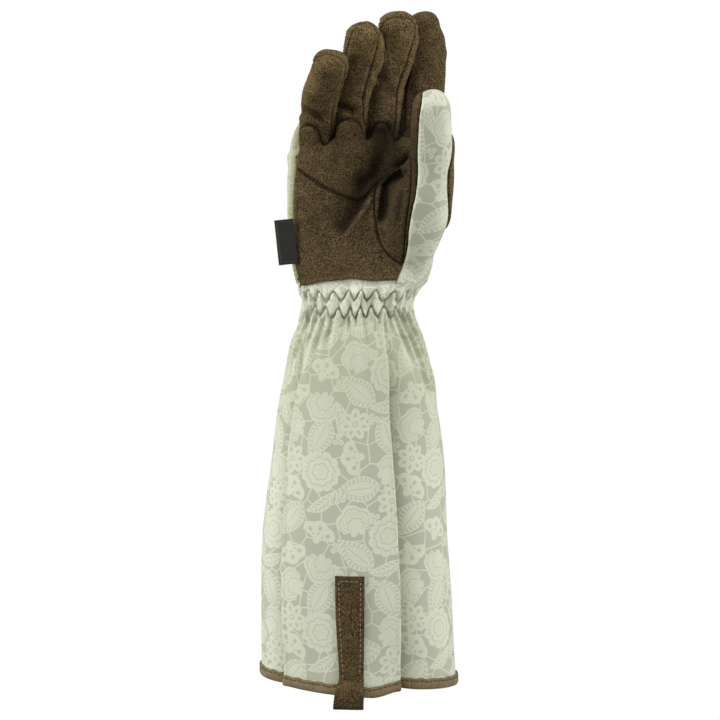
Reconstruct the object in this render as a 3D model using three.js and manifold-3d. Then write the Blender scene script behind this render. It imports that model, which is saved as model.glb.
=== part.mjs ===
// A right-hand work and garden glove with a long gauntlet cuff, as it stands when worn.
// The palm, the finger fronts and the thumb pad are suede, the back and the cuff are printed cloth.
// Millimetres, +Z towards the fingertips, the palm faces -Y, and the thumb is on the +X side.
// The origin is the centre of the gathered wrist, where the wearer's wrist goes through.
import * as THREE from "three";
import Module from "manifold-3d";

const wasm = await Module();
wasm.setup();

// Driving dimensions
const WALL = 1.8; // suede or cloth with its facing
const SEAM = 0.3; // open width of a seam between two panels
const PAD = 1.6; // thickness of the suede laid over the palm and the thumb
const HAND_BOTTOM = 15.3; // where the hand is sewn to the gathered wrist
const GATHER_TOP = 15;
const GATHER_BOTTOM = -7.7;
const CUFF_TOP = -8;
const HEM = -232; // lower edge of the cuff cloth at x = 0
const HEM_SLOPE = -0.08; // the hem drops towards +X
const GATHERS = 20; // puckers round the wrist
const CUFF_WALL = 1.5;
const BINDING = { thick: 1, gap: 0.3, high: 5 };
const FOURCHETTE = 4; // half width of the strips between the fingers
const FAR = 120; // past everything, for the cutting blocks
const PALM_POWER = 2.6; // how square the palm's section is: 2 is an ellipse
const LIMB_POWER = 2.3;

// How finely the outer faces and the hollow are divided
const OUTER = { sides: 14, steps: 5, palmSides: 24 };
const INNER = { sides: 8, steps: 4, palmSides: 16 };

// Centre line and half sizes of each limb, from inside the palm to the start of its rounded tip.
const LIMBS = {
  little: [
    { x: -23.6, y: -1, z: 84, wide: 9.5, deep: 8 },
    { x: -23.9, y: -3, z: 104, wide: 10.4, deep: 9 },
    { x: -23.4, y: -9, z: 118, wide: 10.8, deep: 9.4 },
    { x: -21.5, y: -19, z: 130, wide: 11.2, deep: 9.4 },
    { x: -17.2, y: -31, z: 141, wide: 11, deep: 9.2 },
    { x: -15.4, y: -37, z: 145.5, wide: 10.2, deep: 8.8 },
  ],
  ring: [
    { x: -3.2, y: 0, z: 84, wide: 8.8, deep: 8.4 },
    { x: -3, y: -1, z: 104, wide: 9.5, deep: 9.2 },
    { x: -2.4, y: -5, z: 118, wide: 9.5, deep: 9.4 },
    { x: -1, y: -11, z: 132, wide: 9.8, deep: 9.4 },
    { x: 2.6, y: -18, z: 146, wide: 11.2, deep: 9.4 },
    { x: 4.2, y: -26, z: 159, wide: 11.6, deep: 9.2 },
    { x: 3.6, y: -29, z: 163, wide: 11, deep: 8.8 },
  ],
  middle: [
    { x: 16.8, y: 1, z: 84, wide: 8.8, deep: 8.4 },
    { x: 16.7, y: 1, z: 104, wide: 9.4, deep: 9.2 },
    { x: 17.2, y: -1, z: 120, wide: 9.6, deep: 9.4 },
    { x: 19, y: -4, z: 134, wide: 9.8, deep: 9.4 },
    { x: 22.4, y: -9, z: 148, wide: 11, deep: 9.4 },
    { x: 24.8, y: -14, z: 162, wide: 12, deep: 9.2 },
    { x: 25, y: -16.5, z: 169, wide: 11.6, deep: 8.8 },
  ],
  index: [
    { x: 38, y: 3, z: 84, wide: 10.8, deep: 8.6 },
    { x: 38.8, y: 3, z: 104, wide: 11.4, deep: 9.2 },
    { x: 40, y: 3.5, z: 120, wide: 12, deep: 9.4 },
    { x: 41, y: 4, z: 135, wide: 12.3, deep: 9.4 },
    { x: 42.3, y: 3.5, z: 150, wide: 12.4, deep: 9.4 },
    { x: 42.2, y: 2, z: 164, wide: 11.8, deep: 9.2 },
    { x: 41.8, y: 1, z: 171, wide: 10.8, deep: 8.8 },
  ],
  thumb: [
    { x: 33, y: -9, z: 17, wide: 6, deep: 6 },
    { x: 33, y: -11, z: 30, wide: 13, deep: 11 },
    { x: 33, y: -14, z: 44, wide: 18.5, deep: 15 },
    { x: 34.5, y: -18, z: 58, wide: 22, deep: 18.5 },
    { x: 37.5, y: -23, z: 72, wide: 20.5, deep: 18 },
    { x: 42, y: -31, z: 84, wide: 15, deep: 15 },
    { x: 44.4, y: -39, z: 96, wide: 12.6, deep: 12 },
    { x: 44, y: -45, z: 108, wide: 12, deep: 11.4 },
    { x: 44, y: -49, z: 118, wide: 11.4, deep: 10.8 },
  ],
};

// The palm, from below the wrist seam to the webs between the fingers.
const PALM = [
  { x: 1.2, y: 0, z: 6, wide: 36, deep: 25 },
  { x: 2.6, y: 0, z: 15, wide: 39.1, deep: 23.5 },
  { x: 3.2, y: 0, z: 27, wide: 43.2, deep: 22 },
  { x: 3.2, y: 0, z: 45, wide: 44.8, deep: 20.5 },
  { x: 3, y: 0, z: 66, wide: 46, deep: 18.5 },
  { x: 3.4, y: 0, z: 84, wide: 46, deep: 17 },
  { x: 4, y: 0, z: 94, wide: 45.2, deep: 15.5 },
  { x: 4.5, y: 0, z: 99, wide: 43.5, deep: 12.5 },
  { x: 5, y: 0, z: 102, wide: 41, deep: 8 },
  { x: 5, y: 0, z: 103.2, wide: 38, deep: 4 },
];

// Where printed cloth meets suede on the thumb: the front edge, its depth, and the back edge.
const THUMB_CLOTH = [
  { z: HAND_BOTTOM, x: 24.5, y: -20, backX: 25, backY: 60 },
  { z: 27, x: 28.4, y: -20, backX: 29, backY: 60 },
  { z: 39, x: 31, y: -22, backX: 34, backY: 50 },
  { z: 51, x: 32.2, y: -28, backX: 42, backY: 20 },
  { z: 68, x: 34.7, y: -36, backX: 52, backY: -4 },
  { z: 88, x: 35.5, y: -44, backX: 58, backY: -24 },
  { z: 107, x: 35.8, y: -50, backX: 57, backY: -37 },
  { z: 122, x: 37.7, y: -52, backX: 55, backY: -42 },
  { z: 150, x: 40, y: -56, backX: 55, backY: -46 },
];

// Outline of the suede pad over the upper palm, seen from the front.
const PALM_PAD = [
  { x: -36, z: 87 },
  { x: -34.5, z: 105 },
  { x: -29, z: 110.5 },
  { x: -23, z: 108 },
  { x: -17.5, z: 99 },
  { x: -11, z: 104 },
  { x: -9, z: 110 },
  { x: -4, z: 113.5 },
  { x: 1.5, z: 110.5 },
  { x: 5.5, z: 102.5 },
  { x: 10, z: 109.5 },
  { x: 14.7, z: 112.5 },
  { x: 20, z: 109 },
  { x: 24.6, z: 102.5 },
  { x: 30, z: 109 },
  { x: 38, z: 112 },
  { x: 46, z: 105 },
  { x: 46, z: 94 },
  { x: 31.5, z: 88 },
  { x: 15.3, z: 78 },
  { x: 5.4, z: 67.5 },
  { x: 1.2, z: 66.6 },
  { x: -7.4, z: 69 },
  { x: -22.7, z: 76.8 },
];

// The reinforcing patch on the thumb's outer side, an ellipse seen from +X.
const GUARD = { y: -24, z: 82, halfY: 17, halfZ: 35, lean: 0.42, fromX: 38 };

// The cuff's plain sections below the wrist.
const CUFF = [
  { x: 0.3, y: 0, z: GATHER_TOP, wide: 39, deep: 25 },
  { x: 0.6, y: 0, z: 2.5, wide: 34.6, deep: 26 },
  { x: 0.5, y: 0, z: -8, wide: 35.2, deep: 27 },
  { x: 0.7, y: 0, z: -20, wide: 41, deep: 30.5 },
  { x: 1.1, y: 0, z: -36, wide: 45.6, deep: 34 },
  { x: 0.8, y: 0, z: -60, wide: 50, deep: 37.5 },
  { x: 0, y: 0, z: -100, wide: 54.8, deep: 41 },
  { x: -0.6, y: 0, z: -160, wide: 58.4, deep: 44 },
  { x: 0.8, y: 0, z: -233, wide: 60.6, deep: 45.5 },
];

// Long soft folds down the cuff: where the valley lies at the top and at the hem, in degrees
// round from the front towards +X, how deep it grows, and how far each side takes to rise.
const FOLDS = [
  { top: 36, hem: 36, depth: 7, before: 5, after: 20 },
  { top: -60, hem: -56, depth: 6, before: 16, after: 5 },
  { top: 118, hem: 122, depth: 4.5, before: 12, after: 7 },
  { top: 176, hem: 172, depth: 4, before: 9, after: 14 },
  { top: -122, hem: -126, depth: 4.5, before: 8, after: 14 },
];

// How the wrist puckers at each height: ripple, how far the elastic pulls it in, and half a
// pucker's shift between the bands that the two elastic rows part.
const PUCKERS = [
  { z: 15, ripple: 0, pull: 0, shift: 0 },
  { z: 12.5, ripple: 1, pull: 0, shift: 0 },
  { z: 9.5, ripple: 1.3, pull: 0.4, shift: 0 },
  { z: 7.6, ripple: 0.5, pull: 1.4, shift: 0 },
  { z: 5, ripple: -1.1, pull: 0.2, shift: 1 },
  { z: 0, ripple: -1.1, pull: 0.2, shift: 1 },
  { z: -2.5, ripple: 0.5, pull: 1.4, shift: 0 },
  { z: -7.7, ripple: 1.8, pull: 0, shift: 0 },
  { z: -20, ripple: 1.5, pull: 0, shift: 0 },
  { z: -45, ripple: 0.6, pull: 0, shift: 0 },
  { z: -80, ripple: 0, pull: 0, shift: 0 },
];

const STRAP = { left: -13.2, right: 4.8, top: -160, thick: 1.6, clear: 0.35, stations: 5 };
const TAG = { x: -37.6, y: -13.4, z: 40.6, long: 12.6, high: 27.5, sheet: 0.6, tilt: 6 };

const COLOURS = {
  suede: { color: 0x4c3f2b, roughness: 0.95 },
  cloth: { color: 0xcdd0b8, roughness: 0.85 },
  binding: { color: 0x7b6e4e, roughness: 0.9 },
  label: { color: 0x2d2b26, roughness: 0.7 },
};

const radians = THREE.MathUtils.degToRad;

// The row of a table at a height, read along a straight line between its neighbours.
function rowAt(rows, z) {
  const ordered = rows[0].z < rows.at(-1).z ? rows : rows.toReversed();
  if (z <= ordered[0].z) return ordered[0];
  const above = ordered.findIndex((row) => row.z >= z);
  if (above < 0) return ordered.at(-1);
  const [low, high] = [ordered[above - 1], ordered[above]];
  const share = (z - low.z) / (high.z - low.z);
  const keys = Object.keys(low);
  return Object.fromEntries(keys.map((key) => [key, low[key] + share * (high[key] - low[key])]));
}

// A closed skin over rings of points that all have the same count, with flat triangulated ends.
function skin(rings, closed = false) {
  const count = rings[0].length;
  const points = rings.flat().flatMap((p) => [p.x, p.y, p.z]);
  const faces = [];
  const spans = closed ? rings.length : rings.length - 1;
  for (let i = 0; i < spans; i++) {
    const [low, high] = [i * count, ((i + 1) % rings.length) * count];
    for (let j = 0; j < count; j++) {
      const next = (j + 1) % count;
      faces.push(low + j, low + next, high + next, low + j, high + next, high + j);
    }
  }
  if (!closed) {
    cap(rings[0], 0, true, faces);
    cap(rings.at(-1), (rings.length - 1) * count, false, faces);
  }
  const geometry = new THREE.BufferGeometry();
  geometry.setAttribute("position", new THREE.Float32BufferAttribute(points, 3));
  geometry.setIndex(faces);
  return geometry;
}

// Triangulates one end ring in its own plane.
function cap(ring, first, turned, faces) {
  const origin = ring[0];
  const across = ring[1].clone().sub(origin).normalize();
  const normal = new THREE.Vector3();
  ring.forEach((p, i) => {
    const next = ring[(i + 1) % ring.length];
    normal.add(p.clone().sub(origin).cross(next.clone().sub(origin)));
  });
  normal.normalize();
  const up = normal.clone().cross(across);
  const flat = ring.map((p) => {
    const d = p.clone().sub(origin);
    return new THREE.Vector2(d.dot(across), d.dot(up));
  });
  for (const [a, b, c] of THREE.ShapeUtils.triangulateShape(flat, [])) {
    faces.push(first + a, first + (turned ? c : b), first + (turned ? b : c));
  }
}

// A solid for joining and cutting, from a closed geometry with shared vertices.
function solid(geometry) {
  const made = new wasm.Manifold(
    new wasm.Mesh({
      numProp: 3,
      vertProperties: new Float32Array(geometry.attributes.position.array),
      triVerts: new Uint32Array(geometry.index.array),
    }),
  );
  if (made.volume() <= 0) throw new Error("a geometry is inside out");
  return made;
}

// Points of a rounded-square outline on two axes, anticlockwise about the third.
function oval(centre, across, along, wide, deep, power, count) {
  return Array.from({ length: count }, (_, i) => {
    const turn = (2 * Math.PI * i) / count;
    const [c, s] = [Math.cos(turn), Math.sin(turn)];
    const reach = (Math.abs(c) ** power + Math.abs(s) ** power) ** (-1 / power);
    return centre
      .clone()
      .addScaledVector(across, reach * c * wide)
      .addScaledVector(along, reach * s * deep);
  });
}

// A finger or thumb: ovals square to a smooth centre line, and a domed tip. `grow` moves its
// surface outwards, or inwards for the hollow.
function limb(rows, grow, sides = OUTER.sides, steps = OUTER.steps) {
  const line = new THREE.CatmullRomCurve3(rows.map((r) => new THREE.Vector3(r.x, r.y, r.z)));
  const sizes = new THREE.CatmullRomCurve3(rows.map((r) => new THREE.Vector3(r.wide, r.deep, 0)));
  const rings = [];
  const section = (centre, tangent, wide, deep) => {
    const across = new THREE.Vector3(1, 0, 0).addScaledVector(tangent, -tangent.x).normalize();
    rings.push(oval(centre, across, tangent.clone().cross(across), wide, deep, LIMB_POWER, sides));
  };
  for (let i = 0; i <= steps; i++) {
    const t = i / steps;
    const size = sizes.getPoint(t);
    section(line.getPoint(t), line.getTangent(t), size.x + grow, size.y + grow);
  }
  const [tip, tangent, size] = [line.getPoint(1), line.getTangent(1), sizes.getPoint(1)];
  const dome = (size.x + size.y) / 2 + grow;
  for (const degrees of [35, 65]) {
    const [out, back] = [Math.sin(radians(degrees)), Math.cos(radians(degrees))];
    const centre = tip.clone().addScaledVector(tangent, dome * out);
    section(centre, tangent, (size.x + grow) * back, (size.y + grow) * back);
  }
  return solid(skin(rings));
}

// The palm's own form, moved outwards by `grow`.
function palmForm(grow, sides = OUTER.palmSides) {
  const [across, along] = [new THREE.Vector3(1, 0, 0), new THREE.Vector3(0, 1, 0)];
  const rings = PALM.map((r, i) => {
    const lift = i === PALM.length - 1 ? grow : 0;
    const centre = new THREE.Vector3(r.x, r.y, r.z + lift);
    return oval(centre, across, along, r.wide + grow, Math.max(r.deep + grow, 1), PALM_POWER, sides);
  });
  return solid(skin(rings));
}

const FINGERS = ["little", "ring", "middle", "index"].map((name) => LIMBS[name]);

// Hand and fingers as one form, and the thumb as another. The hollow inside can be plainer.
const handForm = (grow, fine = OUTER) =>
  wasm.Manifold.union([
    palmForm(grow, fine.palmSides),
    ...FINGERS.map((rows) => limb(rows, grow, fine.sides, fine.steps)),
  ]);
const thumbForm = (grow, fine = OUTER) => limb(LIMBS.thumb, grow, fine.sides, fine.steps + 1);

// The same anticlockwise outline with every edge moved outwards.
function widened(points, grow) {
  const outward = ([ax, ay], [bx, by]) => new THREE.Vector2(by - ay, ax - bx).normalize();
  return points.map((p, i) => {
    const before = outward(points.at(i - 1), p);
    const after = outward(p, points[(i + 1) % points.length]);
    const corner = before.clone().add(after).multiplyScalar(grow / (1 + before.dot(after)));
    return [p[0] + corner.x, p[1] + corner.y];
  });
}

// A block whose outline in plan changes with height.
function block(heights, outlineAt) {
  return solid(skin(heights.map((z) => outlineAt(z).map(([x, y]) => new THREE.Vector3(x, y, z)))));
}

const HEIGHTS = [HAND_BOTTOM, 60, 98, 105, 112, 195];
const FINGER_HEIGHTS = [80, 98, 105, 112, 124, 136, 148, 160, 195];

// How far a height is past the web, where the side seam leaves the suede's edge for the finger.
const pastWeb = (z) => THREE.MathUtils.smoothstep(z, 98, 112);

// The side seam's free end in plan, beyond the little finger.
function outerSeam(z, depth) {
  const outer = THREE.MathUtils.lerp(-30, depth, pastWeb(z));
  return [[-FAR, outer], [-60, outer], [-36.6, THREE.MathUtils.lerp(-11, depth, pastWeb(z))]];
}

// Everything in front of a line in plan, moved `grow` backwards.
const inFrontOf = (heights, lineAt, grow) =>
  block(heights, (z) => [
    [-FAR, -FAR],
    [FAR, -FAR],
    ...lineAt(z).toReversed().map(([x, y]) => [x, y + grow]),
  ]);

// The palm's side seam runs through the fingers' centre lines.
function palmSeam(z) {
  const centres = FINGERS.map((rows) => rowAt(rows, z)).map((c) => [c.x, c.y]);
  return [...outerSeam(z, centres[0][1]), ...centres, [FAR, centres.at(-1)[1]]];
}

// A finger's side seam is at its own middle depth.
function fingerSeam(rows, z) {
  const { x, y } = rowAt(rows, z);
  const start = rows === FINGERS[0] ? outerSeam(z, y) : [[-FAR, y]];
  return [...start, [x, y], [FAR, y]];
}

// The front half of the hand and fingers, moved outwards and backwards by `grow`.
const frontForm = (grow) =>
  wasm.Manifold.union([
    palmForm(grow).intersect(inFrontOf(HEIGHTS, palmSeam, grow)),
    ...FINGERS.map((rows) =>
      limb(rows, grow).intersect(inFrontOf(FINGER_HEIGHTS, (z) => fingerSeam(rows, z), grow)),
    ),
  ]);

// The block that takes one side of a finger: its right with turn 1, its left with turn -1.
function fingerSide(rows, turn, top, grow) {
  return block([96 - grow, 112, 124, 136, top - 9, top + grow], (z) => {
    const { x, y, wide } = rowAt(rows, z);
    const [from, to] = [x + turn * 0.45 * wide, x + turn * FAR];
    const [left, right] = turn > 0 ? [from, to] : [to, from];
    const half = FOURCHETTE;
    return widened([[left, y - half], [right, y - half], [right, y + half], [left, y + half]], grow);
  });
}

// The strip that runs up one finger, across the web and down the next.
function fourchetteForm(first, grow) {
  const [left, right] = [FINGERS[first], FINGERS[first + 1]];
  const top = Math.min(left.at(-1).z, right.at(-1).z) + 4;
  const web = block([96 - grow, 106 + grow], (z) => {
    const [a, b] = [rowAt(left, z), rowAt(right, z)];
    const [from, to] = [a.x + 0.45 * a.wide, b.x - 0.45 * b.wide];
    const [near, behind] = [a.y - FOURCHETTE, b.y + FOURCHETTE];
    return widened([[from, near], [to, near], [to, behind], [from, behind]], grow);
  });
  return wasm.Manifold.union([
    palmForm(grow).intersect(web),
    limb(left, grow).intersect(fingerSide(left, 1, top, grow)),
    limb(right, grow).intersect(fingerSide(right, -1, top, grow)),
  ]);
}

// The printed side of the thumb, down to the wrist.
const thumbClothBlock = (grow) =>
  block(THUMB_CLOTH.map((row) => row.z), (z) => {
    const row = rowAt(THUMB_CLOTH, z);
    const corners = [
      [row.x, -FAR],
      [FAR, -FAR],
      [FAR, row.backY],
      [row.backX, row.backY],
      [row.x, row.y],
    ];
    return widened(corners, grow);
  });

// An outline on the XZ or YZ plane, pushed through the part along the axis left over.
function punch(points, axis, from, to) {
  const area = points.reduce((sum, [p, q], i) => {
    const [nextP, nextQ] = points[(i + 1) % points.length];
    return sum + p * nextQ - nextP * q;
  }, 0);
  const outward = Math.sign(area) === (axis === "y" ? -1 : 1);
  const ordered = outward ? points : points.toReversed();
  const ringAt = (at) =>
    ordered.map(([p, q]) => (axis === "y" ? new THREE.Vector3(p, at, q) : new THREE.Vector3(at, p, q)));
  return solid(skin([ringAt(from), ringAt(to)]));
}

const hand = handForm(0);
const thumb = thumbForm(0);
const hollow = handForm(-WALL, INNER).add(thumbForm(-WALL, INNER));
const front = inFrontOf(HEIGHTS, palmSeam, 0);
const aboveWrist = block([HAND_BOTTOM, 200], () => [[-FAR, -FAR], [FAR, -FAR], [FAR, FAR], [-FAR, FAR]]);
const thumbCloth = thumbClothBlock(0);
const thumbClothGrown = thumbClothBlock(SEAM);
const stripsGrown = wasm.Manifold.union([0, 1, 2].map((i) => fourchetteForm(i, SEAM)));

const palmPanel = () =>
  frontForm(0)
    .subtract(stripsGrown)
    .subtract(thumbForm(SEAM))
    .subtract(thumbClothGrown)
    .subtract(hollow);

const backPanel = () =>
  hand.intersect(aboveWrist).subtract(frontForm(SEAM)).subtract(stripsGrown).subtract(hollow);

const fourchette = (i) => fourchetteForm(i, 0).subtract(hollow);

const thumbPalm = () => thumb.intersect(front).subtract(thumbClothGrown).subtract(hollow);

const thumbBack = () => hand.add(thumb).intersect(front).intersect(thumbCloth).subtract(hollow);

function palmPad() {
  const outline = PALM_PAD.map((p) => [p.x, p.z]);
  return handForm(SEAM + PAD)
    .subtract(handForm(SEAM))
    .intersect(punch(outline, "y", -60, -3))
    .intersect(front)
    .subtract(thumbForm(2 * SEAM));
}

function thumbGuard() {
  const count = 20;
  const outline = Array.from({ length: count }, (_, i) => {
    const turn = (2 * Math.PI * i) / count;
    const [dy, dz] = [GUARD.halfY * Math.cos(turn), GUARD.halfZ * Math.sin(turn)];
    return [GUARD.y + dy - GUARD.lean * dz, GUARD.z + dz];
  });
  return thumbForm(SEAM + PAD)
    .subtract(thumbForm(SEAM))
    .intersect(punch(outline, "x", GUARD.fromX, FAR))
    .subtract(handForm(SEAM));
}

// How far the long folds take the cuff inwards.
function foldAt(degrees, z) {
  const down = THREE.MathUtils.clamp((CUFF_TOP - z) / (CUFF_TOP - HEM), 0, 1);
  const grown = THREE.MathUtils.smoothstep(down, 0, 0.35);
  return FOLDS.reduce((sum, fold) => {
    const valley = THREE.MathUtils.lerp(fold.top, fold.hem, down);
    const gap = THREE.MathUtils.euclideanModulo(degrees - valley + 180, 360) - 180;
    const reach = gap < 0 ? fold.before : fold.after;
    return sum + fold.depth * grown * Math.exp(-((gap / reach) ** 2));
  }, 0);
}

// A point of the cuff or wrist, `out` from its outer face, at an angle round from the front.
function cuffPoint(degrees, z, out) {
  const row = rowAt(CUFF, z);
  const pucker = rowAt(PUCKERS, z);
  const turn = radians(degrees);
  const wave = Math.cos(GATHERS * turn) * pucker.ripple;
  const reach = out + wave - pucker.pull - foldAt(degrees, z);
  const normal = new THREE.Vector2(Math.sin(turn) / row.wide, -Math.cos(turn) / row.deep).normalize();
  return new THREE.Vector3(
    row.x + row.wide * Math.sin(turn) + reach * normal.x,
    row.y - row.deep * Math.cos(turn) + reach * normal.y,
    z,
  );
}

const hemAt = (x) => HEM + HEM_SLOPE * x;

// A height on the cuff, leaning with the hem the nearer it is to it.
function leanTo(degrees, z) {
  const x = cuffPoint(degrees, z, 0).x;
  const share = THREE.MathUtils.clamp((CUFF_TOP - z) / (CUFF_TOP - HEM), 0, 1) ** 2;
  return z + (hemAt(x) - HEM) * share;
}

const SIDES = 3 * GATHERS;
const ANGLES = Array.from({ length: SIDES }, (_, i) => (360 * i) / SIDES - 180);

// A tube of cloth between an outer and an inner face, through the given heights.
function tube(heights, wall, leaning) {
  const ringAt = (z, out) =>
    ANGLES.map((a) => {
      const p = cuffPoint(a, z, out);
      p.z = leaning ? leanTo(a, z) : z;
      return p;
    });
  const outer = heights.map((z) => ringAt(z, 0));
  const inner = heights.toReversed().map((z) => ringAt(z, -wall));
  return solid(skin([...outer, ...inner], true));
}

const wristGather = () =>
  tube([GATHER_BOTTOM, -2.5, 0, 5, 7.6, 10, GATHER_TOP], CUFF_WALL, false);

const gauntletCuff = () => tube([HEM, -165, -100, -60, -30, CUFF_TOP], CUFF_WALL, true);

// The binding: a channel of folded tape round the hem.
function hemBinding() {
  const { thick, gap, high } = BINDING;
  const inside = -CUFF_WALL - gap;
  const profile = [
    [gap, high],
    [gap + thick, high],
    [gap + thick, -gap - thick],
    [inside - thick, -gap - thick],
    [inside - thick, high],
    [inside, high],
    [inside, -gap],
    [gap, -gap],
  ];
  const rings = ANGLES.map((a) =>
    profile.map(([out, rise]) => {
      const p = cuffPoint(a, HEM, out);
      p.z = leanTo(a, HEM) + rise;
      return p;
    }),
  );
  return solid(skin(rings, true));
}

// The depth of the cuff's front face at a given x and height.
function frontDepth(x, z, out) {
  let degrees = 0;
  for (let i = 0; i < 8; i++) {
    const here = cuffPoint(degrees, z, 0).x;
    const slope = cuffPoint(degrees + 1, z, 0).x - here;
    degrees += (x - here) / slope;
  }
  return cuffPoint(degrees, z, 0).y - out;
}

// The pull loop: a suede strap sewn down the cuff's front, round under the hem and up inside.
function pullLoop() {
  const { thick, clear, left, right, top, stations } = STRAP;
  const tape = BINDING.gap + BINDING.thick;
  const outside = clear + thick / 2;
  const inside = -CUFF_WALL - outside;
  const path = [
    [outside, top],
    [outside, top - 30],
    [outside, HEM + 9],
    [tape + outside, HEM + 5.5],
    [tape + outside, HEM - 3],
    [tape + outside - 0.8, HEM - 6],
    [-0.75, HEM - 8.2],
    [inside - tape + 0.8, HEM - 6],
    [inside - tape, HEM - 3],
    [inside - tape, HEM + 5.5],
    [inside, HEM + 9],
    [inside, HEM + 20],
  ];
  const side = (sign) =>
    path.map(([out, z], i) => {
      const [a, b] = [path[Math.max(i - 1, 0)], path[Math.min(i + 1, path.length - 1)]];
      const along = new THREE.Vector2(b[0] - a[0], b[1] - a[1]).normalize();
      return [out - (sign * along.y * thick) / 2, z + (sign * along.x * thick) / 2];
    });
  const profile = [...side(1), ...side(-1).toReversed()];
  const rings = Array.from({ length: stations }, (_, i) => {
    const x = left + ((right - left) * i) / (stations - 1);
    return profile.map(([out, z]) => new THREE.Vector3(x, frontDepth(x, Math.max(z, HEM), out), z));
  });
  return solid(skin(rings));
}

// The side label: a short ribbon folded in half, its fold outwards.
function sideTag() {
  const { long, high, sheet } = TAG;
  const shape = new THREE.Shape();
  const edge = sheet * 1.25;
  shape.moveTo(0, -edge);
  shape.lineTo(-long + edge, -edge);
  shape.absarc(-long + edge, 0, edge, -Math.PI / 2, Math.PI / 2, true);
  shape.lineTo(0, edge);
  shape.lineTo(0, edge - sheet);
  shape.lineTo(-long + edge, edge - sheet);
  shape.lineTo(-long + edge, sheet - edge);
  shape.lineTo(0, sheet - edge);
  const geometry = new THREE.ExtrudeGeometry(shape, { depth: high, bevelEnabled: false, curveSegments: 4 });
  geometry.translate(0, 0, -high / 2);
  return geometry;
}

// A named mesh from a solid or a geometry.
function piece(name, from, finish) {
  let geometry = from;
  if (!from.isBufferGeometry) {
    const mesh = from.getMesh();
    geometry = new THREE.BufferGeometry();
    geometry.setAttribute("position", new THREE.BufferAttribute(new Float32Array(mesh.vertProperties), 3));
    geometry.setIndex(new THREE.BufferAttribute(new Uint32Array(mesh.triVerts), 1));
    geometry.computeVertexNormals();
  }
  const made = new THREE.Mesh(geometry, new THREE.MeshStandardMaterial({ ...COLOURS[finish], metalness: 0 }));
  made.name = name;
  return made;
}

const glove = new THREE.Group();
glove.name = "gauntlet_glove";

const handPart = new THREE.Group();
handPart.add(
  piece("palm_panel", palmPanel(), "suede"),
  piece("back_panel", backPanel(), "cloth"),
  piece("fourchette_little_ring", fourchette(0), "suede"),
  piece("fourchette_ring_middle", fourchette(1), "suede"),
  piece("fourchette_middle_index", fourchette(2), "suede"),
  piece("thumb_palm", thumbPalm(), "suede"),
  piece("thumb_back", thumbBack(), "cloth"),
  piece("palm_pad", palmPad(), "suede"),
  piece("thumb_guard", thumbGuard(), "suede"),
);

const tag = piece("side_tag", sideTag(), "label");
tag.position.set(TAG.x, TAG.y, TAG.z);
tag.rotation.y = radians(TAG.tilt);
handPart.add(tag);

const cuffPart = new THREE.Group();
cuffPart.add(
  piece("wrist_gather", wristGather(), "cloth"),
  piece("gauntlet_cuff", gauntletCuff(), "cloth"),
  piece("hem_binding", hemBinding(), "binding"),
  piece("pull_loop", pullLoop(), "suede"),
);

glove.add(handPart, cuffPart);

export default glove;
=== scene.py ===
"""Dresses the gauntlet work glove: suede hand, printed cloth back and cuff, tape and pull loop.

Lengths in the tables are millimetres, and meshes are written in metres. The palm faces -Y, the
fingertips point to +Z and the thumb is on the +X side.
"""

import logging
import math
from dataclasses import dataclass, field
from enum import Enum
from typing import Any, Optional, Union

import bpy
import numpy as np
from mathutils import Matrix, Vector, noise
from mathutils.bvhtree import BVHTree


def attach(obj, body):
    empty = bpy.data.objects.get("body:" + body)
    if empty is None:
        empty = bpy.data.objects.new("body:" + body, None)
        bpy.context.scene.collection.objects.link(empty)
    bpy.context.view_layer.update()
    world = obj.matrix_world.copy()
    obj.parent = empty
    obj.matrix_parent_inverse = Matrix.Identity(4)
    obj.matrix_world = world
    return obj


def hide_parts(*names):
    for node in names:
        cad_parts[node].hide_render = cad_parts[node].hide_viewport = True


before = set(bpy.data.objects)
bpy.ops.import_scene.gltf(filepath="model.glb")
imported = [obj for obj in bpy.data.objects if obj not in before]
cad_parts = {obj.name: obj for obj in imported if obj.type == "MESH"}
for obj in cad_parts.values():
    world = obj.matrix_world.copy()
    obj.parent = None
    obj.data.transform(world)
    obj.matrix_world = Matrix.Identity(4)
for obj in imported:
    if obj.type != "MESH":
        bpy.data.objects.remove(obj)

log = logging.getLogger("glove")

MM = 0.001
BODY = "root"
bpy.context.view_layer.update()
SHARP_DEGREES = 55.0
TINY = 1e-12

Array = np.ndarray
Amount = Union[Array, float]
Row = tuple[float, ...]
Spot = tuple[float, float, float]
Colour = tuple[float, float, float]


class Slot(Enum):
    """The record's material slots."""

    SUEDE = "suede"
    CLOTH = "printed_cloth"
    BINDING = "binding"
    LABEL = "label"


# Numbers on a surface


def smoothstep(low: float, high: float, value: Array) -> Array:
    """Rises smoothly from 0 at low to 1 at high.

    Args:
        low: Where the rise starts.
        high: Where it ends.
        value: The numbers to look at.

    Returns:
        Numbers from 0 to 1.
    """
    share = np.clip((value - low) / (high - low), 0.0, 1.0)
    return share * share * (3.0 - 2.0 * share)


def hump(value: Array, width: Amount) -> Array:
    """A bell of height 1 round 0, width wide on each side."""
    return np.exp(-((value / width) ** 2))


def unit(vectors: Array) -> Array:
    """The same directions with a length of 1."""
    return vectors / np.maximum(np.linalg.norm(vectors, axis=-1, keepdims=True), TINY)


def run_along(path: Array) -> Array:
    """How far along a line of points each of them lies."""
    return np.concatenate([[0.0], np.cumsum(np.linalg.norm(np.diff(path, axis=0), axis=1))])


def rounded_square(across: Array, up: Array, power: Amount) -> Array:
    """A sum that is 1 on a rounded square of half width 1, and squarer for a higher power."""
    return np.abs(across) ** power + np.abs(up) ** power


def signed_degrees(degrees: Array) -> Array:
    """The same angles, from -180 to 180."""
    return (degrees + 180) % 360 - 180


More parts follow.
